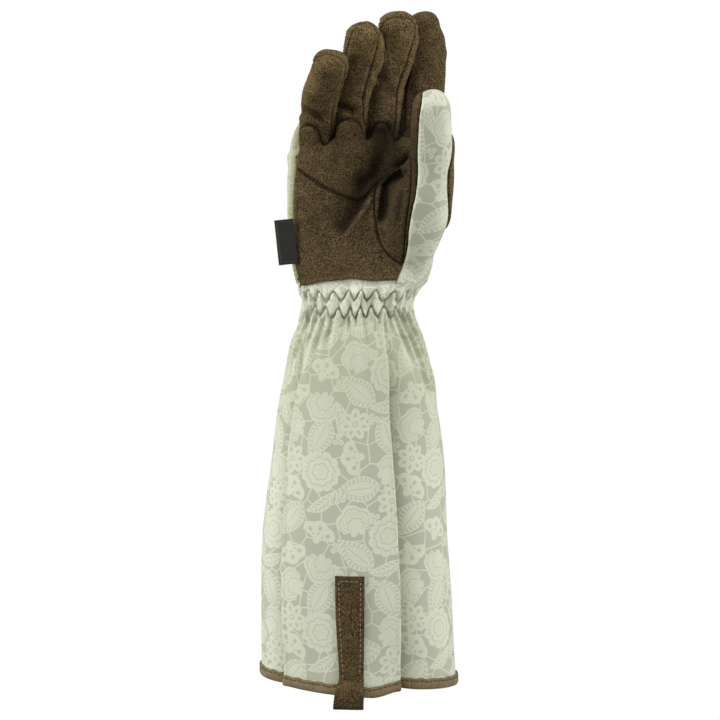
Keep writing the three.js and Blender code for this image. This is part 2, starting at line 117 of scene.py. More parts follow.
def capped(rings: Array) -> Array:
    """Closes a tube of rings with a row at the middle of each end ring."""
    ends = [np.repeat(ring.mean(axis=0)[None], len(ring), axis=0) for ring in (rings[0], rings[-1])]
    return np.concatenate([ends[:1], rings, ends[1:]])


def grain_noise(points: Array, wavelength: float, seed: float = 0.0) -> Array:
    """Smooth noise of about -1 to 1 at points in millimetres.

    Args:
        points: The places, one a row.
        wavelength: The size of its lumps in millimetres.
        seed: Shifts the pattern, so that two uses differ.

    Returns:
        One number for each point.
    """
    scaled = points / wavelength + seed
    return np.fromiter((noise.noise(p) for p in scaled.tolist()), float, len(scaled))


def eased_table(knots: Array, at: Array) -> Array:
    """Reads a table along a smooth curve through its rows.

    Args:
        knots: Rows whose first column rises, and whose other columns are read.
        at: Values of the first column.

    Returns:
        The other columns at those values, one row for each.
    """
    place = np.clip(at, knots[0, 0], knots[-1, 0])
    step = np.clip(np.searchsorted(knots[:, 0], place) - 1, 0, len(knots) - 2)
    slopes = np.gradient(knots[:, 1:], knots[:, 0], axis=0)
    span = (knots[step + 1, 0] - knots[step, 0])[:, None]
    t = (place[:, None] - knots[step, :1]) / span
    start, end = knots[step, 1:], knots[step + 1, 1:]
    rise, fall = slopes[step] * span, slopes[step + 1] * span
    return (
        (2 * t**3 - 3 * t**2 + 1) * start
        + (t**3 - 2 * t**2 + t) * rise
        + (3 * t**2 - 2 * t**3) * end
        + (t**3 - t**2) * fall
    )


def inside_outline(outline: Array, places: Array) -> Array:
    """How far places lie inside a closed outline.

    Args:
        outline: Its corners in order, one a row.
        places: The places, one a row.

    Returns:
        Distances to the outline, positive inside it.
    """
    nearest = np.full(len(places), np.inf)
    crossings = np.zeros(len(places), int)
    for start, end in zip(outline, np.roll(outline, -1, axis=0)):
        along = end - start
        offset = places - start
        share = np.clip(offset @ along / (along @ along), 0.0, 1.0)
        gap = np.linalg.norm(offset - share[:, None] * along, axis=1)
        nearest = np.minimum(nearest, gap)
        rises = (start[1] > places[:, 1]) != (end[1] > places[:, 1])
        if start[1] != end[1]:
            cross = start[0] + (places[:, 1] - start[1]) * along[0] / along[1]
            crossings += rises & (places[:, 0] < cross)
    return np.where(crossings % 2 == 1, nearest, -nearest)


def rounded_outline(corners: Array, steps: int = 8) -> Array:
    """A smooth closed outline through its corners.

    Args:
        corners: The corners in order, one a row.
        steps: The points from one corner to the next.

    Returns:
        The outline's points, one a row.
    """
    back, ahead = np.roll(corners, 1, axis=0), np.roll(corners, -1, axis=0)
    past = np.roll(corners, -2, axis=0)
    t = np.linspace(0, 1, steps, endpoint=False)[None, :, None]
    a, b, c, d = (x[:, None, :] for x in (back, corners, ahead, past))
    curve = 0.5 * (
        2 * b + (c - a) * t + (2 * a - 5 * b + 4 * c - d) * t**2 + (3 * b - a - 3 * c + d) * t**3
    )
    return curve.reshape(-1, corners.shape[1])


@dataclass
class Surface:
    """Triangles in millimetres, with named numbers on their points."""

    points: Array
    faces: Array
    values: dict[str, Array] = field(default_factory=dict)

    @staticmethod
    def from_grid(grid: Array, wrap: bool, values: Optional[dict[str, Array]] = None) -> "Surface":
        """A surface over a grid of points.

        Args:
            grid: Points as rows by columns by 3.
            wrap: Whether each row closes on itself.
            values: Named numbers, as rows by columns or rows by columns by 3.

        Returns:
            The surface.
        """
        rows, columns = grid.shape[:2]
        low, left = np.meshgrid(
            np.arange(rows - 1), np.arange(columns if wrap else columns - 1), indexing="ij"
        )
        right = (left + 1) % columns
        a, b = low * columns + left, low * columns + right
        c, d = (low + 1) * columns + right, (low + 1) * columns + left
        faces = np.stack([np.stack([a, b, c], -1), np.stack([a, c, d], -1)], 2)
        flat = {k: v.reshape(rows * columns, -1).squeeze() for k, v in (values or {}).items()}
        return Surface(grid.reshape(-1, 3), faces.reshape(-1, 3), flat)

    @staticmethod
    def from_object(piece: bpy.types.Object) -> "Surface":
        """Reads an object's mesh, as its modifiers leave it."""
        shown = piece.evaluated_get(bpy.context.evaluated_depsgraph_get())
        mesh = shown.to_mesh()
        mesh.calc_loop_triangles()
        points = np.empty(len(mesh.vertices) * 3)
        faces = np.empty(len(mesh.loop_triangles) * 3, np.int32)
        mesh.vertices.foreach_get("co", points)
        mesh.loop_triangles.foreach_get("vertices", faces)
        shown.to_mesh_clear()
        return Surface(points.reshape(-1, 3) / MM, faces.reshape(-1, 3).astype(int))

    @staticmethod
    def joined(parts: list["Surface"]) -> "Surface":
        """Several surfaces as one, without their values."""
        firsts = np.cumsum([0] + [len(part.points) for part in parts[:-1]])
        faces = [part.faces + first for part, first in zip(parts, firsts)]
        return Surface(np.concatenate([part.points for part in parts]), np.concatenate(faces))

    def _sides(self) -> Array:
        """Every triangle's three sides, as pairs of point numbers in the triangle's order."""
        return np.concatenate([self.faces[:, [0, 1]], self.faces[:, [1, 2]], self.faces[:, [2, 0]]])

    def edges(self) -> Array:
        """The edges, each once, as pairs of point numbers."""
        return np.unique(np.sort(self._sides(), axis=1), axis=0)

    def _neighbours(self) -> tuple[Array, Array, Array]:
        """Each edge's two ends both ways round, and how many neighbours each point has."""
        edges = self.edges()
        ends = np.concatenate([edges[:, 0], edges[:, 1]])
        others = np.concatenate([edges[:, 1], edges[:, 0]])
        return ends, others, np.maximum(np.bincount(ends, minlength=len(self.points)), 1)

    def normals(self) -> Array:
        """The unit normals at the points, facing out."""
        a, b, c = (self.points[self.faces[:, i]] for i in range(3))
        face = np.cross(b - a, c - a)
        total = np.zeros_like(self.points)
        for corner in range(3):
            for axis in range(3):
                total[:, axis] += np.bincount(self.faces[:, corner], face[:, axis], len(total))
        return unit(total)

    def relaxed(self, rounds: int, strength: float = 0.5) -> "Surface":
        """Moves each point towards the middle of its neighbours.

        Args:
            rounds: How often.
            strength: How far each time, from 0 to 1.

        Returns:
            The smoother surface.
        """
        ends, others, count = self._neighbours()
        points = self.points
        for _ in range(rounds):
            near = np.stack([np.bincount(ends, points[others, i], len(points)) for i in range(3)], 1)
            points = points + strength * (near / count[:, None] - points)
        return Surface(points, self.faces, self.values)

    def spread(self, amount: Array, rounds: int) -> Array:
        """Evens a number on the points out among neighbours, rounds times."""
        ends, others, count = self._neighbours()
        for _ in range(rounds):
            amount = 0.5 * amount + 0.5 * np.bincount(ends, amount[others], len(amount)) / count
        return amount

    def true_distance(self, worth: Array) -> Array:
        """Turns a number that passes 0 along a line into the distance from that line."""
        shortest, flattest, steepest = 1e-6, 0.15, 4.0
        a, b = self.edges().T
        length = np.maximum(np.linalg.norm(self.points[a] - self.points[b], axis=1), shortest)
        slope = np.abs(worth[a] - worth[b]) / length
        steep = np.zeros(len(worth))
        np.maximum.at(steep, a, slope)
        np.maximum.at(steep, b, slope)
        return worth / np.clip(self.spread(steep, 2), flattest, steepest)

    def moved(self, distance: Amount) -> "Surface":
        """Moves the points outwards by a distance of their own."""
        step = np.broadcast_to(distance, len(self.points))[:, None]
        return Surface(self.points + self.normals() * step, self.faces, self.values)

    def kept_where(self, worth: Array) -> "Surface":
        """Cuts the surface along the line where a number is 0 and keeps where it is positive.

        Args:
            worth: One number for each point.

        Returns:
            The part that is kept, with its values carried to the cut.
        """
        never_zero = 1e-3
        worth = np.where(np.abs(worth) < never_zero, never_zero, worth)
        kept = worth > 0
        count = kept[self.faces].sum(axis=1)
        whole = self.faces[count == 3]
        new_faces, pairs = [whole], []
        total = len(self.points)
        for wanted in (1, 2):
            mixed = self.faces[count == wanted]
            odd = np.argmax(kept[mixed] == (wanted == 1), axis=1)
            a, b, c = np.take_along_axis(mixed, (odd[:, None] + np.arange(3)) % 3, axis=1).T
            first = total + sum(len(p) for p in pairs) + np.arange(len(a))
            pairs.append(np.stack([a, b], 1))
            second = first + len(a)
            pairs.append(np.stack([a, c], 1))
            if wanted == 1:
                new_faces.append(np.stack([a, first, second], 1))
            else:
                new_faces.append(np.stack([first, b, c], 1))
                new_faces.append(np.stack([first, c, second], 1))
        pairs = np.concatenate(pairs)
        ordered, where = np.unique(np.sort(pairs, axis=1), axis=0, return_inverse=True)
        low, high = ordered[:, 0], ordered[:, 1]
        share = worth[low] / (worth[low] - worth[high])
        faces = np.concatenate(new_faces)
        renumber = np.concatenate([np.arange(total), total + where.ravel()])
        faces = renumber[faces]
        used = np.unique(faces)
        compact = np.zeros(total + len(ordered), int)
        compact[used] = np.arange(len(used))

        def carried(numbers: Array) -> Array:
            """Numbers of the points that are used, the new ones on the cut among them."""
            part = share if numbers.ndim == 1 else share[:, None]
            cut = numbers[low] * (1 - part) + numbers[high] * part
            return np.concatenate([numbers, cut])[used]

        values = {name: carried(numbers) for name, numbers in self.values.items()}
        return Surface(carried(self.points), compact[faces], values)

    def wall(self, thickness: float) -> "Surface":
        """A closed wall from this face inwards, with a rim round its open edges.

        Args:
            thickness: The wall's thickness.

        Returns:
            The closed surface.
        """
        total = len(self.points)
        inner = self.points - thickness * self.normals()
        sides = self._sides()
        _, where, uses = np.unique(
            np.sort(sides, axis=1), axis=0, return_inverse=True, return_counts=True
        )
        a, b = sides[uses[where.ravel()] == 1].T
        rim = np.concatenate([np.stack([a, a + total, b + total], 1), np.stack([a, b + total, b], 1)])
        faces = np.concatenate([self.faces, self.faces[:, ::-1] + total, rim])
        values = {name: np.concatenate([v, v]) for name, v in self.values.items()}
        return Surface(np.concatenate([self.points, inner]), faces, values)

    def to_object(self, name: str, material: Optional[bpy.types.Material]) -> bpy.types.Object:
        """Makes a smooth-shaded object whose numbers are attributes.

        Args:
            name: The object's name.
            material: Its finish, or None for a helper.

        Returns:
            The object, linked to the scene.
        """
        mesh = bpy.data.meshes.new(name)
        mesh.vertices.add(len(self.points))
        mesh.vertices.foreach_set("co", (self.points * MM).ravel())
        mesh.loops.add(self.faces.size)
        mesh.loops.foreach_set("vertex_index", self.faces.ravel().astype(np.int32))
        mesh.polygons.add(len(self.faces))
        mesh.polygons.foreach_set("loop_start", np.arange(0, self.faces.size, 3, dtype=np.int32))
        for label, numbers in self.values.items():
            kind, key = ("FLOAT", "value") if numbers.ndim == 1 else ("FLOAT_VECTOR", "vector")
            mesh.attributes.new(label, kind, "POINT").data.foreach_set(key, numbers.ravel())
        mesh.update()
        mesh.validate()
        mesh.polygons.foreach_set("use_smooth", np.ones(len(mesh.polygons), bool))
        mesh.set_sharp_from_angle(angle=math.radians(SHARP_DEGREES))
        if material:
            mesh.materials.append(material)
        piece = bpy.data.objects.new(name, mesh)
        bpy.context.scene.collection.objects.link(piece)
        return piece


def fitted(piece: bpy.types.Object, slot: Slot, *nodes: str) -> bpy.types.Object:
    """Ties a piece to the glove's body and hides the solids that it stands for."""
    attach(piece, BODY)
    if nodes:
        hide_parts(*nodes)
    log.info("%s: %d triangles", piece.name, len(piece.data.polygons))
    return piece


# Finishes

Socket = Any
Settings = dict[str, Any]
Inputs = dict[Any, Any]
Value = Union["Number", float]


class Number:
    """A shader socket that holds one number and takes part in Python arithmetic."""

    def __init__(self, shader: "Shader", socket: Socket) -> None:
        """Wraps a socket of a shader."""
        self.shader = shader
        self.socket = socket

    def _with(self, operation: str, *others: Value) -> "Number":
        """Adds a Math node on this number and others."""
        sockets = [self.socket, *(o.socket if isinstance(o, Number) else o for o in others)]
        made = self.shader.add("ShaderNodeMath", {"operation": operation}, dict(enumerate(sockets)))
        return Number(self.shader, made.outputs[0])

    def __add__(self, other: Value) -> "Number":
        """self + other"""
        return self._with("ADD", other)

    __radd__ = __add__

    def __sub__(self, other: Value) -> "Number":
        """self - other"""
        return self._with("SUBTRACT", other)

    def __rsub__(self, other: float) -> "Number":
        """other - self"""
        made = self.shader.add("ShaderNodeMath", {"operation": "SUBTRACT"}, {0: other, 1: self.socket})
        return Number(self.shader, made.outputs[0])

    def __mul__(self, other: Value) -> "Number":
        """self * other"""
        return self._with("MULTIPLY", other)

    __rmul__ = __mul__

    def __truediv__(self, other: Value) -> "Number":
        """self / other"""
        return self._with("DIVIDE", other)

    def __pow__(self, other: Value) -> "Number":
        """self ** other"""
        return self._with("POWER", other)

    def __abs__(self) -> "Number":
        """abs(self)"""
        return self._with("ABSOLUTE")

    def __mod__(self, other: float) -> "Number":
        """self % other, never negative."""
        return self._with("FLOORED_MODULO", other)

    def below(self, other: Value) -> "Number":
        """1 where it is less than other, and 0 elsewhere."""
        return self._with("LESS_THAN", other)

    def least(self, other: Value) -> "Number":
        """The smaller of the two."""
        return self._with("MINIMUM", other)

    def most(self, other: Value) -> "Number":
        """The larger of the two."""
        return self._with("MAXIMUM", other)

    def bearing(self, up: "Number") -> "Number":
        """The angle in radians, from the up direction, of a place this far across."""
        return self._with("ARCTAN2", up)

    def cos(self) -> "Number":
        """The cosine."""
        return self._with("COSINE")

    def sin(self) -> "Number":
        """The sine."""
        return self._with("SINE")

    def ramp(self, low: float, high: float, start: float = 0.0, end: float = 1.0) -> "Number":
        """Goes smoothly from start at low to end at high.

        Args:
            low: Where the change starts.
            high: Where it ends.
            start: The value up to low.
            end: The value from high on.

        Returns:
            The changed number.
        """
        made = self.shader.add(
            "ShaderNodeMapRange",
            {"interpolation_type": "SMOOTHSTEP"},
            {"Value": self.socket, "From Min": low, "From Max": high, "To Min": start, "To Max": end},
        )
        return Number(self.shader, made.outputs["Result"])

    def filled(self, soft: float) -> "Number":
        """Reads a signed distance as ink: 1 where it is negative, with an edge soft wide."""
        return self.ramp(-soft, soft, 1.0, 0.0)


class Shader:
    """A material under construction: its nodes and its Principled shader."""

    def __init__(self, name: str) -> None:
        """Starts an empty material of that name."""
        self.material = bpy.data.materials.new(name)
        self.material.use_nodes = True
        self.tree = self.material.node_tree
        self.tree.nodes.clear()
        self.surface = self.add("ShaderNodeBsdfPrincipled", {}, {})
        output = self.add("ShaderNodeOutputMaterial", {}, {})
        self.tree.links.new(self.surface.outputs[0], output.inputs["Surface"])

    def add(self, kind: str, settings: Settings, sockets: Inputs) -> bpy.types.Node:
        """Adds one node.

        Args:
            kind: The node's type.
            settings: Its own settings, or a ramp's stops as (place, colour).
            sockets: What each input gets, by name or number: a value, a socket or a Number.

        Returns:
            The node.
        """
        node = self.tree.nodes.new(kind)
        for key, value in settings.items():
            if key == "stops":
                self._set_stops(node.color_ramp, value)
            else:
                setattr(node, key, value)
        self._feed(node, sockets)
        return node

    def _feed(self, node: bpy.types.Node, sockets: Inputs) -> None:
        """Links or sets a node's inputs."""
        for key, value in sockets.items():
            value = value.socket if isinstance(value, Number) else value
            if isinstance(value, bpy.types.NodeSocket):
                self.tree.links.new(value, node.inputs[key])
            else:
                node.inputs[key].default_value = value

    @staticmethod
    def _set_stops(ramp: bpy.types.ColorRamp, stops: list[tuple[float, Colour]]) -> None:
        """Puts a ramp's stops in place."""
        while len(ramp.elements) < len(stops):
            ramp.elements.new(1.0)
        for element, (place, colour) in zip(ramp.elements, stops):
            element.position, element.color = place, (*colour, 1.0)

    def number(self, kind: str, settings: Settings, sockets: Inputs, out: Any = 0) -> Number:
        """Adds a node and wraps one of its outputs as a number."""
        return Number(self, self.add(kind, settings, sockets).outputs[out])

    def vector(self, operation: str, *sockets: Any) -> Socket:
        """Adds a Vector Math node and gives its vector."""
        made = self.add("ShaderNodeVectorMath", {"operation": operation}, dict(enumerate(sockets)))
        return made.outputs[0]

    def parts(self, vector: Socket) -> tuple[Number, Number, Number]:
        """A vector's three numbers."""
        made = self.add("ShaderNodeSeparateXYZ", {}, {0: vector})
        return tuple(Number(self, made.outputs[i]) for i in range(3))

    def place(self) -> Socket:
        """Where a point is on the glove, in millimetres."""
        metres = self.add("ShaderNodeTexCoord", {}, {}).outputs["Object"]
        scaled = self.add("ShaderNodeVectorMath", {"operation": "SCALE"}, {0: metres, "Scale": 1 / MM})
        return scaled.outputs[0]

    def read(self, name: str, out: str = "Fac") -> Any:
        """An attribute of the mesh: a Number, or its vector with out="Vector"."""
        made = self.add("ShaderNodeAttribute", {"attribute_name": name}, {})
        return made.outputs[out] if out == "Vector" else Number(self, made.outputs[out])

    def noise(self, where: Socket, wavelength: float, detail: float = 2.0, rough: float = 0.5) -> Number:
        """Noise from 0 to 1 with lumps of a size in millimetres."""
        sockets = {"Vector": where, "Scale": 1 / wavelength, "Detail": detail, "Roughness": rough}
        return self.number("ShaderNodeTexNoise", {}, sockets)

    def mixed(self, share: Value, first: Any, second: Any) -> Socket:
        """A colour from first at share 0 to second at share 1."""
        first, second = self._colour(first), self._colour(second)
        made = self.add("ShaderNodeMix", {"data_type": "RGBA"}, {0: share, 6: first, 7: second})
        return made.outputs[2]

    @staticmethod
    def _colour(colour: Any) -> Any:
        """A colour socket as it is, or three numbers as a solid colour."""
        return colour if isinstance(colour, bpy.types.NodeSocket) else (*colour, 1.0)

    def bump(self, height: Number, depth: float) -> Socket:
        """A normal from a height of 0 to 1 that stands for depth millimetres."""
        sockets = {"Height": height, "Distance": depth * MM, "Strength": 1.0}
        return self.add("ShaderNodeBump", {}, sockets).outputs[0]

    def finish(
        self, colour: Any, roughness: Any, normal: Optional[Socket] = None, **constants: Any
    ) -> bpy.types.Material:
        """Feeds the Principled shader.

        Args:
            colour: A colour socket or three numbers.
            roughness: A Number or a value.
            normal: A normal socket, or None.
            constants: Other sockets' fixed values, by name with _ for a space.

        Returns:
            The finished material.
        """
        self._feed(self.surface, {"Base Color": self._colour(colour), "Roughness": roughness})
        if normal:
            self._feed(self.surface, {"Normal": normal})
        self._feed(self.surface, {key.replace("_", " "): value for key, value in constants.items()})
        return self.material


@dataclass(frozen=True)
class Suede:
    """Napped suede with a salt-and-pepper grain and warm rubbed patches."""

    name: str = "brown_suede"
    dark: Colour = (0.019, 0.013, 0.006)
    middle: Colour = (0.079, 0.053, 0.023)
    light: Colour = (0.240, 0.172, 0.082)
    warm: Colour = (0.160, 0.102, 0.038)
    # Painted shade: the near-black that the shade attribute mixes into creases, seams and hollows.
    painted_shade: Colour = (0.006, 0.0045, 0.0032)
    sheen: Colour = (0.55, 0.45, 0.30)
    grain: float = 0.60
    patch: float = 16.0
    stops: tuple[float, float, float] = (0.38, 0.5, 0.62)
    grain_depth: float = 0.22
    # How far the painted shade goes towards that near-black at most.
    most_painted_shade: float = 0.86

    def material(self) -> bpy.types.Material:
        """Builds the material."""
        shader = Shader(self.name)
        where = shader.place()
        speck = shader.noise(where, self.grain, 1.5, 0.6)
        fleck = shader.noise(where, self.grain * 2.2, 2.0, 0.6)
        mottle = shader.noise(where, self.patch * 0.35, 3.0)
        rubbed = shader.noise(where, self.patch, 2.0)
        stops = list(zip(self.stops, (self.dark, self.middle, self.light)))
        salt = speck * 0.78 + fleck * 0.12 + mottle * 0.10
        tone = shader.add("ShaderNodeValToRGB", {"stops": stops}, {0: salt}).outputs[0]
        warmth = rubbed.ramp(0.45, 0.75) * fleck.ramp(0.4, 0.62) * 0.6
        napped = shader.mixed(warmth, tone, self.warm)
        # The shade attribute darkens the napped grain towards the near-black as painted shade.
        return shader.finish(
            shader.mixed(shader.read("shade") * self.most_painted_shade, napped, self.painted_shade),
            fleck.ramp(0.2, 0.8, 0.98, 0.82),
            shader.bump(speck * 0.6 + fleck * 0.4, self.grain_depth),
            Sheen_Weight=0.02,
            Sheen_Roughness=0.6,
            Sheen_Tint=(*self.sheen, 1.0),
            Specular_IOR_Level=0.06,
        )


Pair = tuple[Number, Number]


class Motif(Enum):
    """The figures of the lace print, each with the millimetres that its unit length stands for."""

    ROSETTE = 12.6
    SHELL = 10.8
    DAISY = 9.1
    LEAF = 14.2
    FEATHER = 11.5
    FAN = 10.7
    BEADS = 3.3


# Where each figure stands in the print's repeat: across and up in millimetres, and turned by degrees.
SPRIGS: dict[Motif, tuple[Row, ...]] = {
    Motif.ROSETTE: ((10, 8, 10), (52, 67, 40)),
    Motif.SHELL: ((10, 47, 150), (31, 77, 20), (54, 8, -60), (74, 35, 80)),
    Motif.LEAF: ((9, 28, 62), (32, 57, -38), (52, 28, 110), (74, 76, 52), (33, 96, 8)),
    Motif.FAN: ((9, 68, -20), (31, 17, 100), (74, 56, 200), (74, 95, -40)),
    Motif.DAISY: ((31, 37, 0), (54, 88, 20), (75, 15, 12)),
    Motif.FEATHER: ((11, 87, 35), (51, 48, 15), (22, 40, 100), (63, 42, -75)),
    Motif.BEADS: (
        (21, 27, 0), (42, 40, 30), (64, 52, 80), (20, 60, 10), (64, 22, 60), (43, 79, 45), (22, 90, 20),
    ),
}


@dataclass(frozen=True)
class LaceCloth:
    """Matt cloth printed with a pale lace of flowers, fans and leaves on a grey-beige ground."""

    name: str = "lace_print"
    ground: Colour = (0.402, 0.412, 0.318)
    cream: Colour = (0.558, 0.578, 0.455)
    shade: Colour = (0.24, 0.245, 0.115)
    repeat: tuple[float, float] = (84.0, 98.0)
    soft: float = 0.28
    mesh: float = 13.0
    bar: float = 0.42
    drawn: float = 0.72
    petal_out: float = 0.62

    def _nearest(self, shader: Shader, where: Socket, motif: Motif) -> Pair:
        """The place within the nearest figure of one kind.

        Args:
            shader: The material's shader.
            where: The place on the cloth in millimetres.
            motif: The kind of figure.

        Returns:
            Across and up from the figure's middle, in units of its size.
        """
        half = (self.repeat[0] / 2, self.repeat[1] / 2, 1.0)
        low = tuple(-h for h in half)
        tiny = 0.001
        best = reach = None
        for across, up, degrees in SPRIGS[motif]:
            turn_kept = tiny * math.radians(degrees)
            moved = shader.vector("SUBTRACT", where, (across, up, turn_kept))
            local = shader.vector("WRAP", moved, half, low)
            length = shader.number("ShaderNodeVectorMath", {"operation": "LENGTH"}, {0: local}, "Value")
            if best is None:
                best, reach = local, length
                continue
            mixed = {0: length.below(reach), 4: best, 5: local}
            best = shader.add("ShaderNodeMix", {"data_type": "VECTOR"}, mixed).outputs[1]
            reach = reach.least(length)
        turn = shader.parts(best)[2] * (1 / tiny)
        axis = {"rotation_type": "Z_AXIS"}
        turned = shader.add("ShaderNodeVectorRotate", axis, {"Vector": best, "Angle": turn})
        return shader.parts(shader.vector("DIVIDE", turned.outputs[0], (motif.value,) * 3))[:2]

    @staticmethod
    def _polar(across: Number, up: Number) -> Pair:
        """Distance from the middle, and the angle in radians."""
        return (across * across + up * up) ** 0.5, across.bearing(up)

    def _nearest_petal(self, across: Number, up: Number, count: int) -> Pair:
        """Out and sideways from the middle of the nearest of a ring of petals."""
        far, angle = self._polar(across, up)
        step = 2 * math.pi / count
        bend = (angle + step / 2) % step - step / 2
        return far * bend.cos() - self.petal_out, far * bend.sin()

    def _inked(self, gap: Number, motif: Motif) -> Number:
        """Reads a signed distance in a figure's own units as ink."""
        return (gap * motif.value).filled(self.soft)

    def _rosette(self, across: Number, up: Number) -> Pair:
        """A round flower of two rings of petals.

        Args:
            across, up: The place from its middle, in units of its size.

        Returns:
            Its cream, and its drawn lines.
        """
        far, angle = self._polar(across, up)
        outer = far - 0.88 - abs((angle * 5.5).cos()) * 0.12
        ring = abs(far - 0.60 - abs((angle * 4.0).cos()) * 0.10) - 0.030
        inner = abs(far - 0.34 - abs((angle * 3.0).sin()) * 0.07) - 0.030
        spokes = (abs((angle * 11.0).sin()) - 0.28).most(0.70 - far).most(far - 0.82)
        seeds = (across * 42.0).sin() * (up * 42.0).sin()
        hatch = (0.35 - seeds).most(far - 0.30)
        lines = self._inked(ring.least(inner), Motif.ROSETTE)
        lines = lines.most(self._inked(spokes, Motif.ROSETTE) * 0.9)
        lines = lines.most((hatch * 2.0).filled(0.4) * 0.7)
        return self._inked(outer, Motif.ROSETTE), lines

    def _shell(self, across: Number, up: Number) -> Pair:
        """A scalloped shell filled with netting, on three small petals.

        Args:
            across, up: The place from its middle, in units of its size.

        Returns:
            Its cream, and its lines.
        """
        far, angle = self._polar(across, up + 0.50)
        scallop = abs((angle * 3.4).cos())
        side = (abs(angle) - 1.62) * far
        arch = (angle * 0.8).cos() ** 0.5
        body = (far - arch * 1.26 - scallop * 0.15).most(side)
        band = abs(far - arch * 1.06 - scallop * 0.13) - 0.032
        second = abs(far - arch * 0.58 - abs((angle * 5.1).cos()) * 0.10) - 0.032
        net = 0.30 - (angle * 15.0).sin() * (far * 30.0).sin()
        net = net.most(arch * 0.72 - far).most(far - arch * 0.94 - scallop * 0.13).most(side + 0.10)
        ribs = (abs((angle * 5.1).sin()) - 0.16).most(0.22 - far).most(far - 0.46)
        bands = self._inked(band.least(second).most(side + 0.03), Motif.SHELL)
        lines = bands.most((net * 1.6).filled(0.4) * 0.75).most(self._inked(ribs * 0.4, Motif.SHELL) * 0.8)
        petal = (far - 0.46 * abs((angle * 1.5).cos()) ** 0.5).most(1.2 - abs(angle))
        return self._inked(body.least(petal), Motif.SHELL), lines

    def _daisy(self, across: Number, up: Number) -> Pair:
        """A flower of open petals.

        Args:
            across, up: The place from its middle, in units of its size.

        Returns:
            Its cream, and the ground seen through them.
        """
        far, _ = self._polar(across, up)
        out, side = self._nearest_petal(across, up, 7)
        petal = ((out / 0.42) ** 2.0 + (side / 0.30) ** 2.0) ** 0.5 - 1.0
        hole = (((out + 0.02) / 0.17) ** 2.0 + (side / 0.10) ** 2.0) ** 0.5 - 1.0
        ring = abs(far - 0.155) - 0.045
        body = (petal * 0.3).least(far - 0.30)
        return self._inked(body, Motif.DAISY), self._inked((hole * 0.15).least(ring), Motif.DAISY)

    def _leaf(self, across: Number, up: Number) -> Pair:
        """A broad leaf with a barred edge and a veined middle.

        Args:
            across, up: The place from its middle, in units of its size.

        Returns:
            Its cream, and its drawn lines.
        """
        width = (1.0 - across * across) * (0.54 + across * 0.20)
        edge = abs(up) - width
        bars = (abs(edge + 0.12) - 0.075).most(((across * 36.0).sin() * -1.0 + 0.25) * 0.12)
        inner = abs(edge + 0.235) - 0.018
        vein = (abs(up) - 0.020).most(abs(across) - 0.66)
        ribs = (((abs(up) * 1.6 + across) * 26.0).sin() * 0.12 + 0.075).most(edge + 0.28)
        lines = self._inked(bars.least(inner), Motif.LEAF).most(self._inked(vein, Motif.LEAF))
        faint = (ribs * Motif.LEAF.value).filled(0.5) * 0.35
        return self._inked(edge, Motif.LEAF), lines.most(faint)

    def _feather(self, across: Number, up: Number) -> Pair:
        """A narrow leaf cut into rungs.

        Args:
            across, up: The place from its middle, in units of its size.

        Returns:
            Its cream, and the ground seen between them.
        """
        curve = up - across * across * 0.22 + 0.08
        edge = abs(curve) - (1.0 - across * across) * 0.34
        rungs = (((abs(curve) * 1.2 + across) * 24.0).sin() + 0.15) * 0.05
        rungs = rungs.most(edge + 0.085).most(0.045 - abs(curve))
        return self._inked(edge, Motif.FEATHER), self._inked(rungs, Motif.FEATHER)

    def _fan(self, across: Number, up: Number) -> Pair:
        """A scalloped fan with windows.

        Args:
            across, up: The place from its middle, in units of its size.

        Returns:
            Its cream, and the ground seen through it.
        """
        far, angle = self._polar(across, up + 0.35)
        side = (abs(angle) - 1.30) * far
        scallop = (angle * 3.6).cos()
        ribs = abs((angle * 3.6).sin())
        body = (far - 1.02 - abs(scallop) * 0.13).most(side)
        windows = (abs(far - 0.72) - 0.14).most(ribs * 0.30 - 0.15).most(side + 0.12)
        inner = (abs(far - 0.40) - 0.06).most(ribs * 0.2 - 0.11).most(side + 0.1)
        return self._inked(body.least(far - 0.22), Motif.FAN), self._inked(windows.least(inner), Motif.FAN)

    def _beads(self, across: Number, up: Number) -> Pair:
        """Three small rings: their cream, and their holes."""
        out, side = self._nearest_petal(across, up, 3)
        bead = (out * out + side * side) ** 0.5
        return self._inked(bead - 0.50, Motif.BEADS), self._inked(bead - 0.17, Motif.BEADS)

    def material(self) -> bpy.types.Material:
        """Builds the material. It reads cloth_mm, the place on the flat cloth, and shade."""
        shader = Shader(self.name)
        flat = shader.read("cloth_mm", "Vector")
        sway = {"Vector": flat, "Scale": 1 / 30, "Detail": 1.0}
        wander = shader.add("ShaderNodeTexNoise", {}, sway).outputs[1]
        nudged = shader.vector("ADD", flat, shader.vector("MULTIPLY", wander, (4.0, 4.0, 0.0)))
        bars = shader.number(
            "ShaderNodeTexVoronoi",
            {"feature": "DISTANCE_TO_EDGE", "voronoi_dimensions": "2D"},
            {"Vector": nudged, "Scale": 1 / self.mesh, "Randomness": 0.9},
            "Distance",
        )
        lace = (bars * self.mesh - self.bar).filled(self.soft) * 0.9
        figures = {
            Motif.FEATHER: self._feather,
            Motif.LEAF: self._leaf,
            Motif.FAN: self._fan,
            Motif.DAISY: self._daisy,
            Motif.SHELL: self._shell,
            Motif.ROSETTE: self._rosette,
            Motif.BEADS: self._beads,
        }
        for motif, figure in figures.items():
            body, lines = figure(*self._nearest(shader, flat, motif))
            lace = lace * (1.0 - body) + body * (1.0 - lines * self.drawn)
        tone = shader.mixed(lace.ramp(0.0, 1.0), self.ground, self.cream)
